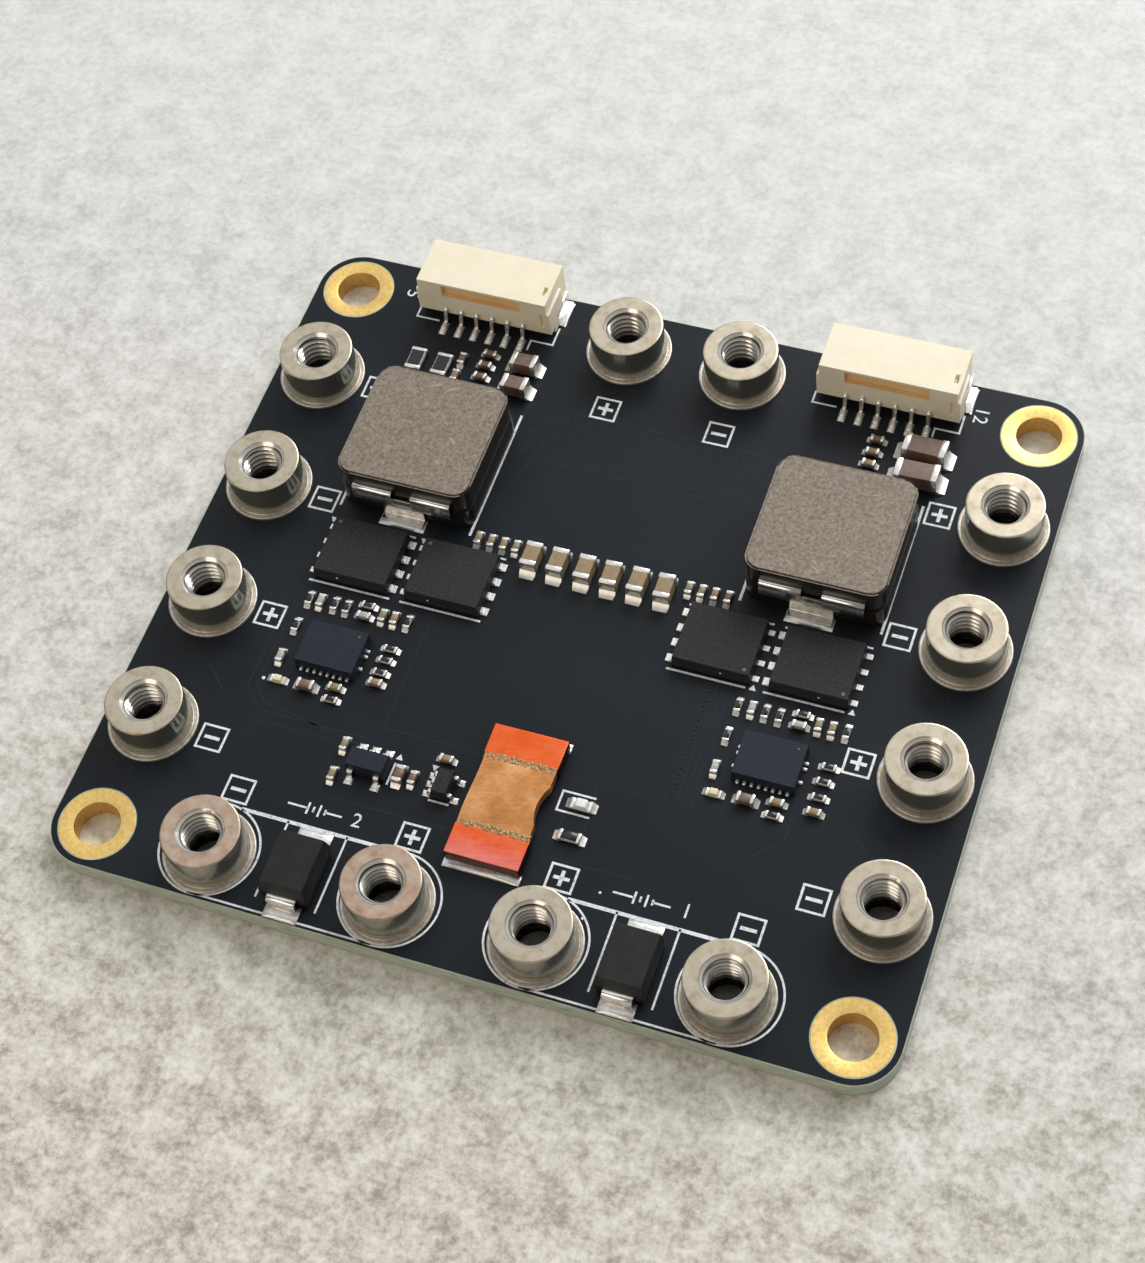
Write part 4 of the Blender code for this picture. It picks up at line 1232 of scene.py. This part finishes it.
def makeSockets():
    s = socketSizes
    body = makeSocketPattern()
    pin = makeSocketPin()
    blob = makeFootSolder(0.56, 1.15, 0.24)
    path = bendPath([(5.15, 2.9), (5.35, 2.9), (5.35, boardTop + 0.1), (5.75, boardTop + 0.1)], 0.08, 3)
    tab = addStrap("tab", path, 2.4, 0.12, 0.03)
    tabBlob = makeFootSolder(0.55, 2.3, 0.14)
    pins, blobs, tabs = [], [], []
    for side in ("left", "right"):
        spot = middleOf("connector_housing_" + side)
        piece = copyTo(body, "socketHousing_" + side, (spot.x, s["back"], 0))
        finishPiece(piece, nylonIvory, "ivory_nylon", "connector_housing_" + side)
        piece.data.materials.append(nylonPocketPaintedLight)
        # faces in the rear recess take the pocket material, whose amber and darker tone are painted light
        # and shade
        for face in piece.data.polygons:
            middle = face.center / mm
            inRecess = s["back"] + 0.02 < middle.y < s["back"] + 0.6 and 4.0 < middle.z < 5.5
            if inRecess and abs(middle.x - spot.x) < 3.3:
                face.material_index = 1
        for i in range(6):
            x = spot.x + (i - 2.5) * s["pinPitch"]
            pins.append(copyTo(pin, "pin", (x, s["back"], 0)))
            blobs.append(copyTo(blob, "blob", (x, s["back"] - 1.05, 0)))
        for end, turn in ((-1, 90), (1, -90)):
            tabs.append(copyTo(tab, "tab", (spot.x, s["tabPlace"], 0), turn))
            blobs.append(copyTo(tabBlob, "blob", (spot.x + end * s["tabSolder"], s["tabPlace"], 0)))
    nodes = [f"connector_pin_{side}_{i}" for side in ("left", "right") for i in range(1, 7)]
    finishPiece(joinAll(pins, "socketPins"), tinPlate, "tin", *nodes)
    finishPiece(joinAll(tabs, "socketTabs"), tinPlate, "tin")
    finishPiece(joinAll(blobs, "socketSolder"), solder, "tin")
    removePattern(body, pin, blob, tab, tabBlob)


makeSockets()
print("sockets made")


# current shunt: copper blocks with a resistance strip welded between them
shuntSizes = {
    "width": 5.4, "endLength": 2.35, "low": 1.68, "high": 2.75, "elementLength": 5.46, "elementWidth": 5.16,
    "crown": 0.07, "seamBeads": 40, "notchRadius": 3.2, "notchDepth": 0.38, "notchBack": -0.2,
    "seamRows": (-0.08, 0.08, 0.24),
}


def makeShunt():
    s = shuntSizes
    spot = (middleOf("shunt_end_front") + middleOf("shunt_end_back")) / 2
    thick = s["high"] - s["low"]
    # ends: a block with worn, rounded edges, cut across near the seam
    for end, away in (("front", -1), ("back", 1)):
        middle = middleOf("shunt_end_" + end)
        block = addBlock("shuntBlock_" + end, (middle.x, middle.y, (s["low"] + s["high"]) / 2),
                         (s["width"], s["endLength"] + 0.04, thick))
        editMesh(block)
        pickAll()
        bpy.ops.mesh.bevel(offset=0.09 * mm, segments=3, affect="EDGES")
        bpy.ops.mesh.bisect(plane_co=(0, (middle.y - away * 0.75) * mm, 0), plane_no=(0, 1, 0))
        bpy.ops.mesh.select_all(action="DESELECT")
        leaveEdit()
        finishPiece(smoothBy(block, 40), copperWorn, "copper", "shunt_end_" + end)
    # element: subdivided, crowned in the middle, then notched on its right side
    element = addBlock("shuntStrip", (spot.x, spot.y, 2.36), (s["elementWidth"], s["elementLength"], 0.74),
                       0.05)
    editMesh(element)
    for i in range(1, 12):
        pickAll()
        bpy.ops.mesh.bisect(plane_co=(0,
                                      (spot.y - s["elementLength"] / 2 + i * s["elementLength"] / 12) * mm,
                                      0),
                            plane_no=(0, 1, 0))
    leaveEdit()
    for point in element.data.vertices:
        y = (point.co.y / mm - spot.y) / (s["elementLength"] / 2)
        if point.co.z > 2.5 * mm:
            point.co.z += s["crown"] * (1 - y ** 4) * mm
        point.co.x += (0.05 * math.sin(y * 2.6)) * mm
    notchX = spot.x + s["elementWidth"] / 2 + s["notchRadius"] - s["notchDepth"]
    cutWith(element, addRod(notchX, spot.y + s["notchBack"], 2.4, s["notchRadius"], 3, 48))
    finishPiece(smoothBy(element, 35), manganinBrushed, "manganin", "shunt_element")
    # weld seams: a row of overlapping beads across the strip at each joint
    bpy.ops.mesh.primitive_uv_sphere_add(segments=8, ring_count=6, radius=0.13 * mm, location=(0, 0, 0))
    bead = placeInMesh(bpy.context.active_object)
    beads = []
    rows = [spot.y + away * (s["elementLength"] / 2 - row) for away in (-1, 1) for row in s["seamRows"]]
    for y in rows:
        for i in range(s["seamBeads"]):
            x = spot.x + (i + 0.5 - s["seamBeads"] / 2) * s["elementWidth"] / s["seamBeads"]
            jump = random.uniform(-0.03, 0.03)
            size = random.uniform(0.85, 1.35)
            beads.append(copyTo(bead, "bead", (x, y + jump, s["high"] - 0.09 + random.uniform(-0.02, 0.03)),
                                0, (size, size * 1.25, size * 0.75)))
    finishPiece(joinAll(beads, "shuntSeams"), seamOxide, "manganin")
    # solder squeezed out in front, behind and along the right side
    front = makeFootSolder(5.5, 0.75, 0.28)
    finishPiece(joinAll([copyTo(front, "s", (spot.x, spot.y - 5.28, 0)),
                         copyTo(front, "s", (spot.x, spot.y + 5.12, 0), 180),
                         copyTo(front, "s", (spot.x + 2.72, spot.y + 4.0, 0), 90, (0.3, 0.25, 0.8)),
                         copyTo(front, "s", (spot.x + 2.72, spot.y - 4.0, 0), 90, (0.3, 0.25, 0.8))],
                         "shuntSolder"), solder, "tin")
    removePattern(bead, front)


# surge diodes: moulded block with a strap lead folded under each end
diodeSizes = {
    "size": (3.5, 4.4), "low": 1.72, "high": 3.9, "parting": 2.85, "draftUp": 0.2, "draftDown": 0.12,
    "leadWidth": 2.1, "leadThickness": 0.2, "leadReach": 0.42,
}


def makeDiodes():
    d = diodeSizes
    body = addBlock("diodePattern", (0, 0, (d["low"] + d["high"]) / 2), (*d["size"], d["high"] - d["low"]))
    editMesh(body)
    pickAll()
    bpy.ops.mesh.bisect(plane_co=(0, 0, d["parting"] * mm), plane_no=(0, 0, 1))
    for up, draft in ((1, d["draftUp"]), (-1, d["draftDown"])):
        pickFaces(body, lambda middle, normal: normal.z * up > 0.9)
        bpy.ops.transform.resize(value=(1 - 2 * draft / d["size"][0], 1 - 2 * draft / d["size"][1], 1),
                                 center_override=(0, 0, 0))
    pickAll()
    bpy.ops.mesh.bevel(offset=0.06 * mm, segments=2, affect="EDGES")
    leaveEdit()
    smoothBy(rememberPlace(body), 25)
    half = d["size"][1] / 2
    path = bendPath([(-half + 0.2, d["parting"] - 0.1), (-half - d["leadReach"], d["parting"] - 0.1),
                     (-half - d["leadReach"], boardTop + 0.16), (-half + 0.9, boardTop + 0.16)], 0.3, 5)
    lead = addStrap("lead", path, d["leadWidth"], d["leadThickness"], 0.04)
    mound = makeFootSolder(d["leadWidth"] + 0.35, 1.25, 0.3)
    leads, mounds = [], []
    for side in ("left", "right"):
        spot = middleOf("surge_diode_" + side)
        piece = copyTo(body, "diodeBody_" + side, (spot.x, spot.y, 0))
        finishPiece(piece, mouldedSmooth, "chip_plastic", "surge_diode_" + side)
        for away, turn in ((-1, 0), (1, 180)):
            fit = (1, 1, 1) if away == -1 else (0.94, 0.93, 1)    # the rear lead is a little narrower
            leads.append(copyTo(lead, "lead", (spot.x, spot.y, 0), turn, fit))
            mounds.append(copyTo(mound, "mound", (spot.x, spot.y + away * (half + 0.62), 0), turn))
    finishPiece(joinAll(leads, "diodeLeads"), tinStrip, "tin")
    finishPiece(joinAll(mounds, "diodeSolder"), solder, "tin")
    removePattern(body, lead, mound)


makeShunt()
makeDiodes()
print("shunt and diodes made")


# chip capacitors, chip resistors and lights: a body, two wrapped ends and a solder fillet at each end
chipKinds = {
    # length along x, width, height, wrapped end, pad reach beyond the end
    "cap0402": (1.0, 0.52, 0.5, 0.24, 0.26), "cap0603": (1.3, 0.75, 0.7, 0.3, 0.3),
    "cap0805": (2.0, 1.25, 1.25, 0.42, 0.5), "cap1206": (3.2, 1.6, 1.5, 0.5, 0.6),
    "res0402": (1.0, 0.5, 0.33, 0.22, 0.26), "res0603": (1.6, 0.8, 0.42, 0.3, 0.35),
    "res0805": (2.0, 1.25, 0.5, 0.36, 0.2), "lamp0603": (1.6, 0.8, 0.55, 0.34, 0.3),
}


def makeChipPatterns():
    patterns = {}
    for kind, (length, width, height, end, pad) in chipKinds.items():
        low = boardTop + 0.05
        thin = 0.03 if "0402" in kind else 0.05
        body = addBlock(kind + "Body", (0, 0, low + height / 2),
                        (length - end, width - 2 * thin, height - 2 * thin), thin * 1.2, 1)
        ends, mounds = [], []
        for side in (-1, 1):
            ends.append(addBlock("end", (side * (length - end) / 2, 0, low + height / 2),
                                 (end, width, height), thin * 1.6, 2))
            # a fillet: a low block whose outer upper edge is pulled down to the pad
            tall = min(height * 0.62, 0.5)
            mound = addBlock("fillet", (side * (length / 2 + pad / 2 - 0.04), 0, boardTop + tall / 2),
                             (pad + 0.08, width * 0.96, tall))
            editMesh(mound)
            pickAll()
            bpy.ops.mesh.bisect(plane_co=(side * (length / 2 + pad * 0.3) * mm, 0, 0), plane_no=(1, 0, 0))
            leaveEdit()
            for point in mound.data.vertices:
                reach = (abs(point.co.x) / mm - length / 2) / pad
                if point.co.z > (boardTop + 0.01) * mm and reach > 0:
                    point.co.z = (boardTop + 0.05 + (tall - 0.05) * (1 - min(reach, 1)) ** 2.2 * 0.8) * mm
                if reach > 0.6:
                    point.co.y *= 0.86
            mounds.append(mound)
        parts = [body, joinAll(ends, kind + "Ends"), joinAll(mounds, kind + "Solder")]
        if kind.startswith("res"):
            film = addBlock("film", (0, 0, low + height - 0.005),
                            (length - 2 * end + 0.06, width * 0.76, 0.05), 0.015, 1)
            parts.append(film)
            film.name = kind + "Film"
        for part in parts:
            rememberPlace(smoothBy(part, 50))
        patterns[kind] = parts
    return patterns


regulatorParts = [
    # kind, colour, x, y, turn: the parts round the left regulator's controller; the right one repeats them
    # 32.12 mm on
    ("res0402", "film", -19.45, -3.35, 90), ("cap0402", "grey", -18.5, -3.35, 90),
    ("res0402", "film", -17.5, -3.35, 90),
    ("res0402", "film", -16.5, -3.35, 90), ("res0402", "film", -15.05, -2.75, 0),
    ("cap0402", "grey", -15.05, -3.7, 0),
    ("cap0402", "olive", -13.72, -3.35, 90), ("cap0402", "tan", -12.8, -3.35, 90),
    ("res0402", "film", -11.8, -3.35, 90),
    ("res0402", "film", -19.5, -5.75, 90), ("cap0402", "grey", -19.55, -8.4, 90),
    ("cap0603", "brown", -16.85, -10.2, 0), ("cap0402", "tan", -14.8, -9.75, 0),
    ("res0402", "film", -14.8, -10.75, 0),
]
regulatorStep = 32.12
looseParts = [
    ("res0402", "film", -12.2, -5.75, 0), ("res0402", "film", -12.2, -6.7, 0),
    ("res0402", "film", -12.2, -7.7, 0),
    ("cap0402", "tan", -12.2, -8.65, 0),
    ("res0402", "film", 19.9, -6.2, 0), ("res0402", "film", 19.9, -7.4, 0),
    ("res0402", "film", 19.9, -8.6, 0),
    ("cap0402", "tan", 19.9, -9.8, 0),
    ("res0805", "film", -19.8, 18.8, 90), ("res0805", "film", -17.7, 18.8, 90),
    ("cap0402", "brown", -16.35, 19.7, 90), ("cap0402", "tan", -16.35, 18.1, 90),
    ("cap0402", "brown", -14.45, 20.7, 0), ("cap0402", "brown", -14.45, 19.6, 0),
    ("cap0402", "brown", -14.45, 18.5, 0),
    ("cap0402", "brown", -14.45, 17.4, 0),
    ("cap0402", "brown", 15.7, 20.65, 0), ("cap0402", "tan", 15.7, 19.55, 0),
    ("cap0402", "tan", 15.7, 18.45, 0),
    ("cap0402", "brown", 15.7, 17.35, 0),
    ("cap0402", "olive", -6.52, 4.75, 90), ("cap0402", "tan", -7.5, 4.75, 90),
    ("cap0402", "olive", -8.45, 4.75, 90),
    ("cap0402", "tan", -9.4, 4.75, 90), ("cap0402", "olive", 6.52, 4.75, 90),
    ("cap0402", "olive", 7.5, 4.75, 90),
    ("cap0402", "tan", 8.45, 4.75, 90), ("cap0402", "brown", 9.4, 4.75, 90),
    ("cap0402", "olive", -12.4, -13.8, 90), ("cap0402", "tan", -12.4, -16.2, 90),
    ("cap0603", "brown", -7.9, -15.0, 90), ("cap0402", "brown", -6.9, -15.0, 90),
    ("cap0402", "tan", -5.2, -12.9, 0),
    ("res0603", "film", 4.85, -16.15, 0),
]
nodeParts = [("cap0805", "tan", f"input_capacitor_{i}", 90) for i in range(1, 7)]
nodeParts += [("cap0805", "brown", f"output_capacitor_left_{i}", 0) for i in (1, 2)]
nodeParts += [("cap1206", "brown", f"output_capacitor_right_{i}", 0) for i in (1, 2)]


def makeSmallParts():
    patterns = makeChipPatterns()
    groups = {}
    jobs = []
    for kind, color, x, y, turn in regulatorParts:
        jobs.append((kind, color, x, y, turn, None))
        jobs.append((kind, color, x + regulatorStep, y, turn, None))
    jobs += [(*part, None) for part in looseParts]
    for kind, color, node, turn in nodeParts:
        spot = middleOf(node)
        jobs.append((kind, color, spot.x, spot.y, turn, node))
    for kind, color, x, y, turn, node in jobs:
        body, ends, mounds, *film = patterns[kind]
        tilt = turn + random.uniform(-1.5, 1.5)
        place = (x + random.uniform(-0.03, 0.03), y + random.uniform(-0.03, 0.03), 0)
        if node:
            piece = copyTo(body, "ceramic_" + node, place, tilt)
            finishPiece(piece, ceramics[color], color + "_ceramic", node)
        else:
            groups.setdefault("alumina" if film else color, []).append(copyTo(body, "body", place, tilt))
        if film:
            groups.setdefault("film", []).append(copyTo(film[0], "film", place, tilt))
        groups.setdefault("ends", []).append(copyTo(ends, "ends", place, tilt))
        groups.setdefault("solder", []).append(copyTo(mounds, "mounds", place, tilt))
    finishes = {"alumina": ("resistorBodies", alumina, "light_lens"),
                "film": ("resistorFilms", resistorGlaze, "chip_plastic"),
                "ends": ("chipPartEnds", tinPlate, "tin"), "solder": ("chipPartSolder", solder, "tin"),
                "grey": ("greyCapacitors", ceramics["grey"], "tan_ceramic"),
                "olive": ("oliveCapacitors", ceramics["olive"], "tan_ceramic"),
                "tan": ("tanCapacitors", ceramics["tan"], "tan_ceramic"),
                "brown": ("brownCapacitors", ceramics["brown"], "brown_ceramic")}
    for group, pieces in groups.items():
        name, material, slotName = finishes[group]
        finishPiece(joinAll(pieces, name), material, slotName)
    makeLights(patterns["lamp0603"])
    for parts in patterns.values():
        removePattern(*parts)


def makeLights(lampParts):
    # power light with its domed lens, and a small status light by each regulator
    ends, mounds = lampParts[1:]
    low = boardTop + 0.05
    lens = addBlock("lens", (0, 0, low + 0.32), (0.92, 0.74, 0.44), 0.0)
    editMesh(lens)
    pickFaces(lens, lambda middle, normal: normal.z > 0.9)
    bpy.ops.transform.resize(value=(0.8, 0.86, 1), center_override=(0, 0, 0))
    pickAll()
    bpy.ops.mesh.bevel(offset=0.07 * mm, segments=3, affect="EDGES")
    leaveEdit()
    smoothBy(rememberPlace(lens), 60)
    base = addBlock("base", (0, 0, low + 0.08), (1.55, 0.78, 0.16), 0.03)
    spot = middleOf("power_light")
    jobs = [("powerLamp", (spot.x, spot.y, 0), (1, 1, 1), lensWhite, ("power_light",)),
            ("statusLamp_left", (-19.05, -10.2, 0), (0.72, 0.72, 0.8), lensCream, ()),
            ("statusLamp_right", (-19.05 + regulatorStep, -10.2, 0), (0.72, 0.72, 0.8), lensCream, ())]
    metal, bases = [], []
    for name, place, stretch, material, nodes in jobs:
        lift = (place[0], place[1], boardTop * (1 - stretch[2]))
        finishPiece(copyTo(lens, name, lift, 0, stretch), material, "light_lens", *nodes)
        bases.append(copyTo(base, "base", lift, 0, stretch))
        metal.append(copyTo(mounds, "mounds", lift, 0, stretch))
        metal.append(copyTo(ends, "ends", lift, 0, (stretch[0], stretch[1], stretch[2] * 0.5)))
        metal[-1].data.transform(Matrix.Translation((0, 0, (boardTop * 0.5 * stretch[2]) * mm)))
    finishPiece(joinAll(metal, "lampEnds"), solder, "tin")
    finishPiece(joinAll(bases, "lampBases"), alumina, "light_lens")
    removePattern(lens, base)


makeSmallParts()
print("small parts and lights made")


# floor, light and camera
def makeFloor():
    # a slab laid just under the board; its edges are rounded like a worktop
    slab = addBlock("floorSlab", (0, 0, -5.03), (1400, 1400, 10), 3.0, 3)
    slab.data.materials.append(makeFloorStone())


lamps = [
    # name, place, size, watts, colour
    ("windowLight", (130, 400, 290), (420, 260), 2.2, "#fbfcff"),       # a wide window behind
    ("ceilingCard", (-151, 284, 507), (900, 900), 1.8, "#f4f9ff"),      # what the flat metal faces mirror
    ("frontFill", (-150, -400, 260), (320, 320), 0.55, "#fff1df"),      # a soft warm lift from the front
]
cameraView = {"place": (43.9, -83.14, 149.83), "angles": (31.827, 5.580, 19.323), "lens": 71.143,
              "sensor": 36}


def addLight(name, place, size, power, color):
    bpy.ops.object.light_add(type="AREA", location=[v * mm for v in place])
    lamp = bpy.context.active_object
    lamp.name = name
    lamp.data.shape = "RECTANGLE"
    lamp.data.size = size[0] * mm
    lamp.data.size_y = size[1] * mm
    lamp.data.energy = power
    lamp.data.color = colorOf(color)[:3]
    lamp.rotation_euler = (-lamp.location).to_track_quat("-Z", "Y").to_euler()    # aimed at the origin


def makeLight():
    for lamp in lamps:
        addLight(*lamp)
    world = bpy.data.worlds.new("softRoom")
    bpy.context.scene.world = world
    world.use_nodes = True
    room = world.node_tree.nodes["Background"].inputs
    room["Color"].default_value = colorOf("#fbf6ee")
    room["Strength"].default_value = 0.2
    bpy.context.scene.view_settings.view_transform = "Standard"


def makeCamera():
    bpy.ops.object.camera_add(location=[v * mm for v in cameraView["place"]],
                              rotation=[math.radians(a) for a in cameraView["angles"]])
    camera = bpy.context.active_object
    camera.data.lens = cameraView["lens"]
    camera.data.sensor_width = cameraView["sensor"]
    camera.data.clip_start = 0.005
    bpy.context.scene.camera = camera


makeFloor()
makeLight()
makeCamera()
print("floor, light and camera made")
